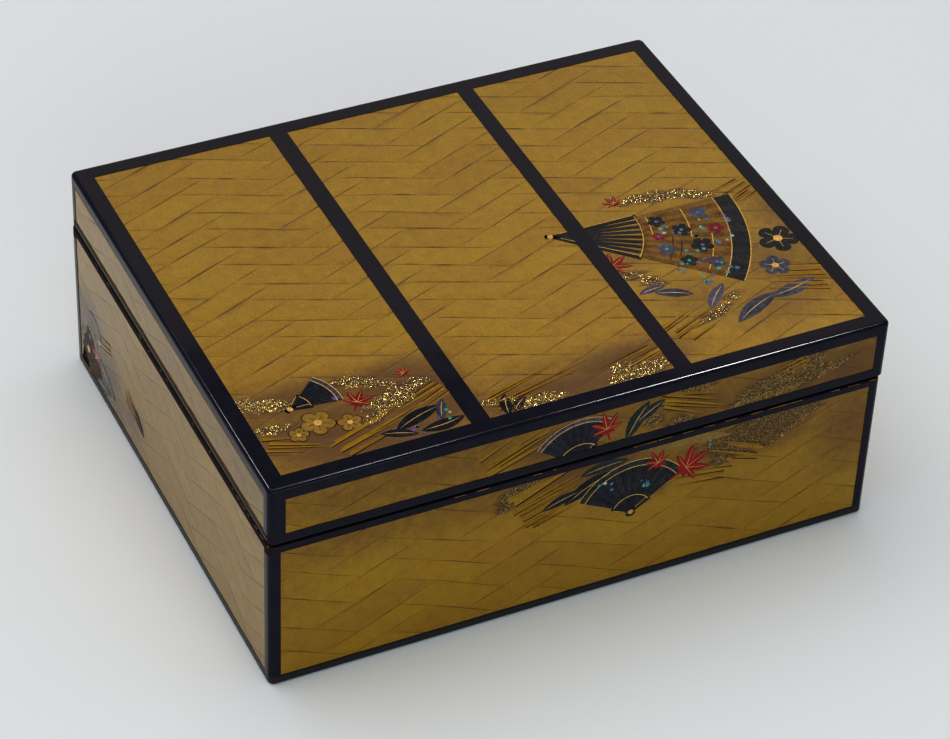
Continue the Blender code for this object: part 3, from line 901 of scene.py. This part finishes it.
def flakes(b, place, rect, drift, per_mm2, seed, size=(0.038, 0.098), high=-0.060, bright=(0.0, 0.85)):
    """Chips cut from gold leaf: paper-thin, a little tilted, crowded in the middle of a drift."""
    blobs = DRIFTS[drift][1]
    rng = np.random.default_rng(seed)
    us = [x for c in blobs for x in (c[0] - max(c[2:4]), c[0] + max(c[2:4]))]
    vs = [x for c in blobs for x in (c[1] - max(c[2:4]), c[1] + max(c[2:4]))]
    u0, u1 = max(min(us), rect[0]), min(max(us), rect[1])
    v0, v1 = max(min(vs), rect[2]), min(max(vs), rect[3])
    total = int((u1 - u0) * (v1 - v0) * per_mm2)
    u, v = rng.uniform(u0, u1, total), rng.uniform(v0, v1, total)
    d = inside_blob(u, v, blobs)
    ok = rng.uniform(0, 1, total) < np.clip(0.10 + d * 4.0, 0, 1) * (d > -0.08)
    pts, faces, cols = [], [], []
    n = 0
    for cu, cv in zip(u[ok], v[ok]):
        k = int(rng.integers(3, 6))
        r = rng.uniform(*size)
        if rng.uniform() < 0.10:
            r *= 1.7
        a = rng.uniform(0, 6.283) + np.arange(k) * 2 * math.pi / k + rng.uniform(-0.3, 0.3, k)
        rr = r * rng.uniform(0.65, 1.2, k)
        x, y = np.clip(cu + rr * np.cos(a), rect[0], rect[1]), np.clip(cv + rr * np.sin(a), rect[2], rect[3])
        tx, ty = rng.normal(0, 0.30, 2)
        z = np.clip(high + rng.uniform(-0.015, 0.02) + (x - cu) * tx + (y - cv) * ty, -0.086, -0.034)
        pts.append(np.stack([x, y, z], -1))
        faces.append([n + i for i in range(k)])
        cols.append(np.tile((rng.uniform(*bright), 1, 0), (k, 1)))
        n += k
    if not pts:
        return
    pts = np.concatenate(pts)
    world = np.stack(np.broadcast_arrays(*place(pts[:, 0], pts[:, 1], pts[:, 2])), -1)
    b.add(world, faces, M_FLAKE, np.concatenate(cols))


def frayed(b, place, rect, start, length, angle, spread, count, seed, width=(0.45, 1.3), high=HIGH):
    """Plaiting that has come loose: long pointed slivers fanned out over dark slits."""
    rng = np.random.default_rng(seed)
    a0 = math.radians(angle)
    nx, ny = -math.sin(a0), math.cos(a0)
    for k in range(count):
        t = (k + 0.5) / count - 0.5
        off = t * spread + rng.normal(0, spread * 0.03)
        ang = a0 + rng.normal(0, 0.035) + t * 0.10
        L = length * rng.uniform(0.55, 1.0) * (1 - 0.5 * abs(t))
        w = rng.uniform(*width)
        sx = start[0] + nx * off + math.cos(a0) * rng.uniform(-0.5, 1.8)
        sy = start[1] + ny * off + math.sin(a0) * rng.uniform(-0.5, 1.8)
        p0, p1 = (sx, sy), (sx + L * math.cos(ang), sy + L * math.sin(ang))
        lift = 0.012 * (k % 3)
        dn = -0.5 * w - 0.06
        s0, s1 = (p0[0] + nx * dn, p0[1] + ny * dn), (p1[0] + nx * dn * 0.6, p1[1] + ny * dn * 0.6)
        plate(b, place, strip_piece(s0, s1, 0.26 + 0.2 * w, 0.5, 1.0), LOW, high - 0.03, M_UMBER, rect, 0.02)
        plate(b, place, strip_piece(p0, p1, w, 0.15, 0.92), LOW, high + lift, M_STRIP, rect, 0.05,
              tint=(rng.uniform(0.1, 0.95), 1, 0))
        if w > 0.8:
            m0 = (p0[0] + nx * w * 0.15, p0[1] + ny * w * 0.15)
            m1 = (p0[0] * 0.3 + p1[0] * 0.7, p0[1] * 0.3 + p1[1] * 0.7)
            plate(b, place, strip_piece(m0, m1, 0.10, 0.5, 0.9), LOW, high + lift + 0.02, M_BROWN, rect, 0.015)


def chips(b, place, rect, spots, seed, high=-0.01):
    """Mother-of-pearl chips: (u, v, how many, spread)."""
    rng = np.random.default_rng(seed)
    for cu, cv, count, spread in spots:
        for _ in range(count):
            u, v = cu + rng.normal(0, spread), cv + rng.normal(0, spread)
            r = rng.uniform(0.28, 0.62)
            k = int(rng.integers(4, 6))
            a0 = rng.uniform(0, 6.28)
            poly = [(u + r * rng.uniform(0.7, 1.1) * math.cos(a0 + 6.283 * i / k),
                     v + r * rng.uniform(0.7, 1.1) * math.sin(a0 + 6.283 * i / k)) for i in range(k)]
            plate(b, place, poly, LOW, high, M_SHELL, rect, 0.02, tint=(rng.uniform(0, 1), 1, 0))


def veins(b, place, rect, centre, size, angle, high):
    for a, r in ((-88, 0.62), (-45, 0.80), (0, 0.88), (45, 0.80), (88, 0.62)):
        t = math.radians(angle + a + 90)
        tip = (centre[0] + size * r * math.cos(t), centre[1] + size * r * math.sin(t))
        plate(b, place, strip_piece(centre, tip, 0.13, 0.0, 0.7), LOW, high, M_GOLD, rect, 0.015)


def red_leaf(b, place, rect, centre, size, angle, high=HIGH, mat=M_RED, line=True):
    plate(b, place, maple(centre, size, angle), LOW, high, mat, rect, 0.05, tint=(0.6, 1, 0))
    if line:
        veins(b, place, rect, centre, size, angle, high + 0.02)


def leaf_blades(b, place, rect, items, mat=M_SLATE, high=HIGH, vein=True):
    for k, (cu, cv, length, width, angle, bend) in enumerate(items):
        plate(b, place, blade((cu, cv), length, width, angle, bend), LOW, high + 0.006 * (k % 3), mat, rect, 0.05,
              tint=(0.3 + 0.2 * (k % 3), 1, 0))
        if vein:
            plate(b, place, blade((cu, cv), length * 0.86, 0.16, angle, bend * 0.92), LOW, high + 0.03, M_GOLD, rect, 0.02)


lid_art, body_art = Builder(), Builder()
T0, T1, T2 = [(u0, u1) + FIELD_V for u0, u1 in FIELDS]
TALL = (FIELDS[1][0], FIELDS[2][1]) + FIELD_V       # two right fields with the bar between them

# lid top, right: an open fan whose ribs cross the bar, leaves and drifts of gold
flakes(lid_art, on_top, T2, "fan_upper", 26, 101)
flakes(lid_art, on_top, T2, "fan_lower", 24, 102)
flakes(lid_art, on_top, T2, "fan_far", 20, 103)
leaf_blades(lid_art, on_top, T2, [(40.0, -36.2, 12.0, 3.2, 26, 0.5), (48.6, -33.4, 10.5, 3.0, 12, -0.4),
                                  (34.6, -30.6, 8.0, 2.3, 46, 0.3)], high=HIGH)
leaf_blades(lid_art, on_top, T2, [(27.8, -27.0, 7.2, 2.4, -24, 0.3), (24.6, -24.6, 5.6, 1.8, 6, 0.2)], high=HIGH)
frayed(lid_art, on_top, T2, (55.8, -33.5), 15.0, 158, 9.0, 7, 105, width=(0.5, 1.2))
frayed(lid_art, on_top, T2, (22.2, -37.5), 13.0, 22, 6.5, 5, 106, width=(0.5, 1.1))
frayed(lid_art, on_top, T2, (56.4, -3.0), 13.0, 202, 6.0, 5, 107, width=(0.5, 1.1))
fan(lid_art, on_top, (14.4, -3.4), -1, -43, 2.0, 17.0, 37.0, TALL, ribs=8, high=0.012)
red_leaf(lid_art, on_top, TALL, (20.9, -15.6), 4.3, -62, high=0.03)
red_leaf(lid_art, on_top, T2, (30.0, 1.4), 2.6, 25, high=HIGH)
plate(lid_art, on_top, blossom((53.2, -19.6), 3.9, 12), LOW, HIGH + 0.05, M_CHAR, T2, 0.10, tint=(0.4, 1, 0))
plate(lid_art, on_top, disc((53.2, -19.6), 0.9), LOW, HIGH + 0.09, M_GOLD, T2, 0.05)
plate(lid_art, on_top, blossom((48.8, -26.6), 2.9, 40), LOW, HIGH + 0.05, M_SLATE, T2, 0.10, tint=(0.4, 1, 0))
plate(lid_art, on_top, disc((48.8, -26.6), 0.7), LOW, HIGH + 0.09, M_GOLD, T2, 0.05)
for k in range(5):
    for (cx_, cy_), r_, a_ in (((53.2, -19.6), 3.9, 12), ((48.8, -26.6), 2.9, 40)):
        t_ = math.radians(a_ + 36 + 72 * k)
        tip = (cx_ + r_ * 0.72 * math.cos(t_), cy_ + r_ * 0.72 * math.sin(t_))
        plate(lid_art, on_top, strip_piece((cx_, cy_), tip, 0.14, 0.0, 0.5), LOW, HIGH + 0.07, M_GOLD, T2, 0.015)
for k, (r_, a_, sz, mt) in enumerate(((20.5, -9, 1.7, M_CHAR), (24.5, -17, 1.9, M_CHAR), (21.5, -32, 1.8, M_SLATE), (29.0, -7, 1.8, M_SLATE),
                                     (28.0, -27, 2.2, M_CHAR), (31.0, -17, 1.6, M_RED), (26.0, -38, 1.7, M_CHAR), (20.0, -22, 1.2, M_RED),
                                     (31.0, -36, 1.7, M_SLATE))):
    c = (14.4 + r_ * math.cos(math.radians(a_)), -3.4 + r_ * math.sin(math.radians(a_)))
    plate(lid_art, on_top, blossom(c, sz, 17 * k), LOW, HIGH + 0.075, mt, T2, 0.06, tint=(0.3 + 0.1 * (k % 4), 1, 0))
    plate(lid_art, on_top, disc(c, 0.36), LOW, HIGH + 0.10, M_SHELL, T2, 0.03, tint=((0.15, 0.55, 0.7, 0.35)[k % 4], 1, 0))
for k, (r_, a0_, a1_) in enumerate(((19.0, -4, -20), (22.6, -21, -40), (26.2, -3, -22), (24.2, -24, -36), (30.0, -20, -41))):
    plate(lid_art, on_top, ring_arc((14.4, -3.4), r_ - 0.10, r_ + 0.10, a0_, a1_, 16), LOW, HIGH + 0.07, M_CHAR if k % 2 else M_GOLD, T2, 0.02)
chips(lid_art, on_top, T2, [(35.0, -9.5, 7, 1.3), (41.5, -11.5, 6, 1.5), (38.0, -17.5, 7, 1.5), (45.0, -17.5, 5, 1.4),
                            (33.0, -21.5, 4, 1.0), (40.0, -24.0, 6, 1.4), (47.0, -10.0, 4, 1.0), (35.5, -26.5, 4, 1.0)], 104, high=0.045)

# lid top, left field: drifts, a closed fan, blossoms and loosened strips
flakes(lid_art, on_top, T0, "a_left", 37, 111)
flakes(lid_art, on_top, T0, "a_mid", 26, 112)
flakes(lid_art, on_top, T0, "a_low", 24, 113)
flakes(lid_art, on_top, T0, "a_edge", 27, 114)
frayed(lid_art, on_top, T0, (-45.0, -43.4), 19.0, 20, 5.4, 5, 116, width=(0.45, 1.1))
frayed(lid_art, on_top, T0, (-21.3, -35.0), 13.0, 202, 5.0, 4, 117, width=(0.45, 1.0))
frayed(lid_art, on_top, T0, (-56.6, -37.6), 12.0, -21, 4.5, 4, 118, width=(0.5, 1.1))
fan(lid_art, on_top, (-48.4, -30.6), 44, -6, 1.2, 3.6, 9.6, T0, ribs=7, leaf=M_CHAR, band=M_SLATE, high=HIGH + 0.03)
red_leaf(lid_art, on_top, T0, (-37.0, -33.2), 3.6, -35, high=HIGH + 0.02)
red_leaf(lid_art, on_top, T0, (-26.4, -29.0), 2.0, 30)
for c, sz, an in (((-45.4, -35.6), 3.1, 10), ((-40.2, -37.6), 2.2, 50), ((-49.6, -37.4), 1.8, 30)):
    plate(lid_art, on_top, blossom(c, sz + 0.16, an), LOW, HIGH + 0.01, M_UMBER, T0, 0.03, tint=(0.3, 1, 0))
    plate(lid_art, on_top, blossom(c, sz, an), LOW, HIGH + 0.03, M_PALE, T0, 0.04, tint=(0.4, 1, 0))
    plate(lid_art, on_top, disc(c, sz * 0.24), LOW, HIGH + 0.07, M_GOLD, T0, 0.04)
    for k in range(5):
        t_ = math.radians(an + 36 + 72 * k)
        tip = (c[0] + sz * 0.62 * math.cos(t_), c[1] + sz * 0.62 * math.sin(t_))
        plate(lid_art, on_top, strip_piece(c, tip, 0.13, 0.0, 0.5), LOW, HIGH + 0.05, M_UMBER, T0, 0.015)
leaf_blades(lid_art, on_top, T0, [(-29.0, -41.0, 10.5, 2.9, 20, 0.4), (-25.6, -43.9, 8.5, 2.6, 6, -0.3),
                                  (-33.6, -43.6, 6.5, 2.0, -20, 0.2)], high=HIGH + 0.03, mat=M_CHAR)
leaf_blades(lid_art, on_top, T0, [(-24.2, -40.4, 5.5, 1.9, 66, 0.2)], high=HIGH + 0.05, mat=M_SLATE)
chips(lid_art, on_top, T0, [(-30.5, -43.2, 4, 0.9), (-24.5, -41.5, 4, 0.9), (-41.0, -30.6, 2, 0.5)], 115, high=0.02)

# lid top, middle field: drifts along the front border
flakes(lid_art, on_top, T1, "b_left", 37, 121)
flakes(lid_art, on_top, T1, "b_right", 28, 122)
frayed(lid_art, on_top, T1, (-15.5, -42.6), 20.0, 13, 4.5, 5, 123, width=(0.4, 0.9))
frayed(lid_art, on_top, T1, (18.0, -39.6), 14.0, 197, 3.5, 4, 124, width=(0.4, 0.9))
leaf_blades(lid_art, on_top, T1, [(-13.4, -43.6, 5.6, 2.2, 74, 0.2), (-11.2, -44.2, 4.6, 1.8, 40, 0.2)], mat=M_CHAR, high=HIGH + 0.02)

# lid front
pl, rl = PANELS["lid_front"]
flakes(lid_art, pl, rl, "lid_field", 34, 131, size=(0.04, 0.105), bright=(0.0, 0.5))
flakes(lid_art, pl, rl, "lid_field_rim", 34, 134)
flakes(lid_art, pl, rl, "lid_small", 34, 132)
flakes(lid_art, pl, rl, "lid_low", 34, 133)
frayed(lid_art, pl, rl, (-20.0, 36.8), 17.0, 22, 4.6, 6, 135, width=(0.5, 1.2))
frayed(lid_art, pl, rl, (14.0, 41.6), 17.0, -20, 4.4, 6, 136, width=(0.5, 1.2))
frayed(lid_art, pl, rl, (44.5, 41.5), 10.0, 200, 4.0, 4, 137, width=(0.4, 0.8))
leaf_blades(lid_art, pl, rl, [(9.6, 38.2, 8.6, 2.9, 62, 0.3), (12.0, 39.6, 6.8, 2.2, 34, 0.2)], high=HIGH + 0.03, mat=M_TEAL)
fan(lid_art, pl, (-1.4, 31.8), 146, 52, 1.5, 4.4, 10.4, rl, ribs=8, leaf=M_CHAR, band=M_SLATE)
red_leaf(lid_art, pl, rl, (3.6, 38.2), 4.1, 14, high=HIGH + 0.05)

# body front
pb, rb = PANELS["body_front"]
flakes(body_art, pb, rb, "body_left_end", 34, 141, bright=(0.0, 0.7))
flakes(body_art, pb, rb, "body_field", 42, 142, size=(0.035, 0.085), bright=(0.0, 0.4))
flakes(body_art, pb, rb, "body_rim", 30, 144)
frayed(body_art, pb, rb, (-15.0, 25.8), 17.0, 20, 5.5, 6, 145, width=(0.6, 1.7))
frayed(body_art, pb, rb, (-12.0, 21.6), 15.0, 19, 3.5, 4, 146, width=(0.5, 1.2))
frayed(body_art, pb, rb, (35.5, 22.6), 14.0, 158, 4.2, 5, 147, width=(0.5, 1.3))
frayed(body_art, pb, rb, (30.0, 19.6), 12.0, 172, 2.8, 3, 148, width=(0.4, 0.9))
leaf_blades(body_art, pb, rb, [(0.8, 25.6, 11.0, 3.0, 28, 0.5), (-4.6, 24.4, 8.0, 2.2, 18, 0.2)], mat=M_CHAR, high=HIGH + 0.02)
leaf_blades(body_art, pb, rb, [(3.6, 29.4, 9.5, 2.4, 6, 0.3)], mat=M_TEAL, high=HIGH + 0.03)
plate(body_art, pb, blade((19.6, 29.9), 19.0, 2.6, -6, 0.8), LOW, HIGH + 0.03, M_OLIVE, rb, 0.08, tint=(0.6, 1, 0))
fan(body_art, pb, (9.6, 17.0), 152, 34, 1.2, 3.8, 12.2, rb, ribs=9, leaf=M_CHAR, band=M_TEAL)
red_leaf(body_art, pb, rb, (20.2, 24.0), 5.4, -58, high=HIGH + 0.06)
red_leaf(body_art, pb, rb, (14.4, 27.0), 3.3, 28, high=HIGH + 0.07)
chips(body_art, pb, rb, [(5.0, 24.4, 4, 0.9), (11.6, 22.6, 4, 0.9), (24.5, 27.8, 2, 0.5)], 143, high=0.03)

# body, left end: an open fan low at the back, with leaves and a blossom
pe, re_ = PANELS["body_left"]
flakes(body_art, pe, re_, "left_low", 18, 151, bright=(0.0, 0.5))
fan(body_art, pe, (-46.6, 1.4), 72, 4, 1.5, 4.6, 14.2, re_, ribs=7, leaf=M_PLUM, rib=M_UMBER, band=M_TEAL, high=HIGH)
leaf_blades(body_art, pe, re_, [(-32.6, 6.8, 9.5, 3.2, -24, 0.3), (-34.4, 3.6, 7.5, 2.4, 10, 0.1), (-38.0, 16.2, 7.0, 2.2, -20, 0.2)],
            mat=M_TEAL, high=HIGH + 0.02)
plate(body_art, pe, blossom((-42.6, 7.0), 3.2, 15), LOW, HIGH + 0.04, M_PLUM, re_, 0.05, tint=(0.2, 1, 0))
plate(body_art, pe, disc((-42.6, 7.0), 0.8), LOW, HIGH + 0.07, M_GOLD, re_, 0.04)
red_leaf(body_art, pe, re_, (-37.4, 8.6), 3.2, 35, high=HIGH + 0.05)
chips(body_art, pe, re_, [(-41.0, 11.2, 3, 0.7), (-36.4, 12.4, 2, 0.6)], 152, high=0.02)
frayed(body_art, pe, re_, (-21.6, 12.4), 10.0, -24, 3.4, 4, 153, width=(0.5, 1.0))
plate(body_art, pe, blade((-15.8, 10.0), 7.5, 2.4, -28, 0.3), LOW, HIGH, M_PLUM, re_, 0.05, tint=(0.05, 1, 0))
frayed(body_art, pe, re_, (-28.0, 16.0), 10.0, 196, 3.0, 3, 154, width=(0.5, 1.0))

# right end and back: plain plaiting with one small drift each, in keeping
pr, rr_ = PANELS["body_right"]
flakes(body_art, pr, rr_, "right_high", 20, 161)
leaf_blades(body_art, pr, rr_, [(-36.5, 23.6, 9.0, 2.6, -14, 0.3), (-41.0, 24.6, 7.0, 2.1, 12, 0.2)], mat=M_SLATE)
frayed(body_art, pr, rr_, (-27.0, 29.0), 12.0, 202, 3.6, 4, 163, width=(0.5, 1.1))
pk, rk = PANELS["body_back"]
flakes(body_art, pk, rk, "back_low", 20, 162)
red_leaf(body_art, pk, rk, (33.5, 8.8), 3.2, -30)
leaf_blades(body_art, pk, rk, [(40.5, 9.4, 9.0, 2.6, 18, 0.3)], mat=M_SLATE)
frayed(body_art, pk, rk, (26.0, 4.6), 12.0, 22, 3.6, 4, 164, width=(0.5, 1.1))

lid_art.finish("lid_inlay", INLAY_MATS, "inlay", smooth=30)
body_art.finish("body_inlay", INLAY_MATS, "inlay", smooth=30)


# ------------------------------------------------------------------ worn gold line in the seam
def seam_line(name, half_x, half_y, cx, cy, radius, z, seed):
    """A narrow gold line round the box's mouth, rubbed away in places."""
    b = Builder()
    rng = np.random.default_rng(seed)
    wear = Wobble(seed, 16.0)
    fine = Wobble(seed + 1, 2.6)
    pts = []
    for k, (sx, sy) in enumerate(((1, 1), (-1, 1), (-1, -1), (1, -1))):
        for i in range(7):
            a = math.radians(90 * k + 90 * i / 6)
            pts.append((cx + sx * (half_x - radius) + radius * math.cos(a), cy + sy * (half_y - radius) + radius * math.sin(a),
                        math.cos(a), math.sin(a)))
        nx_, ny_ = ((-1, 1), (-1, -1), (1, -1), (1, 1))[k]
        a = math.radians(90 * (k + 1))
        x0, y0 = pts[-1][:2]
        x1, y1 = cx + nx_ * (half_x - radius) + radius * math.cos(a), cy + ny_ * (half_y - radius) + radius * math.sin(a)
        steps = int(math.hypot(x1 - x0, y1 - y0) / 0.35)
        for i in range(1, steps):
            t = i / steps
            pts.append((x0 + (x1 - x0) * t, y0 + (y1 - y0) * t, math.cos(a), math.sin(a)))
    n = len(pts)
    for i in range(n):
        x, y, nx, ny = pts[i]
        x2, y2, nx2, ny2 = pts[(i + 1) % n]
        kept = 0.0
        if ny < -0.5:
            kept = 0.22 if x > 9 else (-0.25 if -26 < x < -6 else -1.4)
        elif nx < -0.5:
            kept = -0.05 if y < -32 else -1.0
        if 0.6 * wear(x, y) + 1.7 * fine(x, y) + kept < 0.12:
            continue
        half = 7.5 + 3 * float(fine(x * 2, y * 2))
        ring = []
        for (px, py, mx, my) in ((x, y, nx, ny), (x2, y2, nx2, ny2)):
            # three points on the rounded edge, and one below its skin
            for off, dz in [(0.408 * math.cos(math.radians(a)) - 0.3, 0.408 * math.sin(math.radians(a)) - 0.3)
                            for a in (44 - half, 44, 44 + half)] + [(-0.12, -0.12)]:
                ring.append((px + mx * off, py + my * off, z + dz))
        b.add(ring, [(1, 0, 4, 5), (2, 1, 5, 6), (3, 2, 6, 7), (0, 3, 7, 4)], 0, (float(rng.uniform(0.3, 1)), 1, 0))
    return b.finish(name, [PALE], "inlay")


seam_line("mouth_gold_line", (BOD_HI.x - BOD_LO.x) / 2 - 0.10, (BOD_HI.y - BOD_LO.y) / 2 - 0.10,
          (BOD_HI.x + BOD_LO.x) / 2, (BOD_HI.y + BOD_LO.y) / 2, 1.1, LEDGE - 0.10, 71)


# ------------------------------------------------------------------ floor, light and camera
def stage_material():
    mat, nt, bsdf = new_material("pale_floor")
    n = Net(nt)
    a = n.noise(2.2, 2, 0.5)
    base = n.mix(a, (0.86, 0.87, 0.88), (0.89, 0.90, 0.91))
    n.link(base, bsdf.inputs["Base Color"])
    bsdf.inputs["Roughness"].default_value = 0.9
    bsdf.inputs["Specular IOR Level"].default_value = 0.1
    return mat


mesh = bpy.data.meshes.new("floor")
S = 3.0
mesh.from_pydata([(-S, -S, -0.00005), (S, -S, -0.00005), (S, S, -0.00005), (-S, S, -0.00005)], [], [(0, 1, 2, 3)])
mesh.materials.append(stage_material())
floor = bpy.data.objects.new("floor", mesh)
bpy.context.scene.collection.objects.link(floor)

world = bpy.data.worlds.new("studio")
bpy.context.scene.world = world
world.use_nodes = True
bg = world.node_tree.nodes["Background"]
bg.inputs[0].default_value = (0.93, 0.96, 1.0, 1.0)
bg.inputs[1].default_value = 0.45


def area(name, pos, target, size_x, size_y, radiance, colour=(1, 1, 1)):
    data = bpy.data.lights.new(name, 'AREA')
    data.shape = 'RECTANGLE'
    data.size, data.size_y = size_x, size_y
    data.energy = radiance * math.pi * size_x * size_y
    data.color = colour
    obj = bpy.data.objects.new(name, data)
    bpy.context.scene.collection.objects.link(obj)
    d = Vector(target) - Vector(pos)
    obj.rotation_euler = d.to_track_quat('-Z', 'Y').to_euler()
    obj.location = pos
    return obj


area("soft_top", (-0.20, 0.22, 0.95), (0, 0, 0), 1.05, 1.05, 1.40, (1.0, 0.985, 0.96))
area("soft_front", (-0.15, -1.30, 0.50), (0, 0, 0.02), 1.2, 0.7, 2.06, (0.88, 1.0, 0.98))
haze = area("soft_back", (0.42, 0.88, 0.61), (0, 0, 0.04), 1.1, 0.40, 0.62, (1.0, 0.84, 0.56))
haze.visible_diffuse = False
# narrow lights that only draw the glints on the polished edges
for nm, pos, tgt, sx, sy, rad in (("edge_light", (0.300, 0.035, 0.64), (0.06, -0.03, 0.04), 0.25, 0.05, 84.0),
                                  ("edge_light_left", (0.160, 0.035, 0.64), (-0.04, -0.03, 0.04), 0.09, 0.05, 34.0),
                                  ("rear_light", (-0.18, 0.436, 0.535), (-0.06, -0.045, 0.045), 0.05, 0.08, 34.0)):
    glint = area(nm, pos, tgt, sx, sy, rad)
    glint.visible_diffuse = False

# camera: seen from the left of the front and from above
AZ, EL, ROLL = math.radians(-26.603), math.radians(39.330), math.radians(2.651)
fwd = Vector((-math.sin(AZ) * math.cos(EL), math.cos(AZ) * math.cos(EL), -math.sin(EL)))
right0 = fwd.cross(Vector((0, 0, 1))).normalized()
up0 = right0.cross(fwd)
right = right0 * math.cos(ROLL) + up0 * math.sin(ROLL)
up = right.cross(fwd)
cam_data = bpy.data.cameras.new("camera")
cam_data.sensor_width = 36.0
cam_data.sensor_fit = 'HORIZONTAL'
cam_data.lens = 126.52
cam_data.clip_start = 0.01
cam = bpy.data.objects.new("camera", cam_data)
bpy.context.scene.collection.objects.link(cam)
cam.matrix_world = Matrix((
    (right.x, up.x, -fwd.x, -0.21617),
    (right.y, up.y, -fwd.y, -0.43555),
    (right.z, up.z, -fwd.z, 0.41393),
    (0, 0, 0, 1)))
bpy.context.scene.camera = cam

view = bpy.context.scene.view_settings
view.view_transform = 'Standard'
view.look = 'High Contrast'
view.exposure = -0.48
view.gamma = 1.0

bpy.context.view_layer.update()
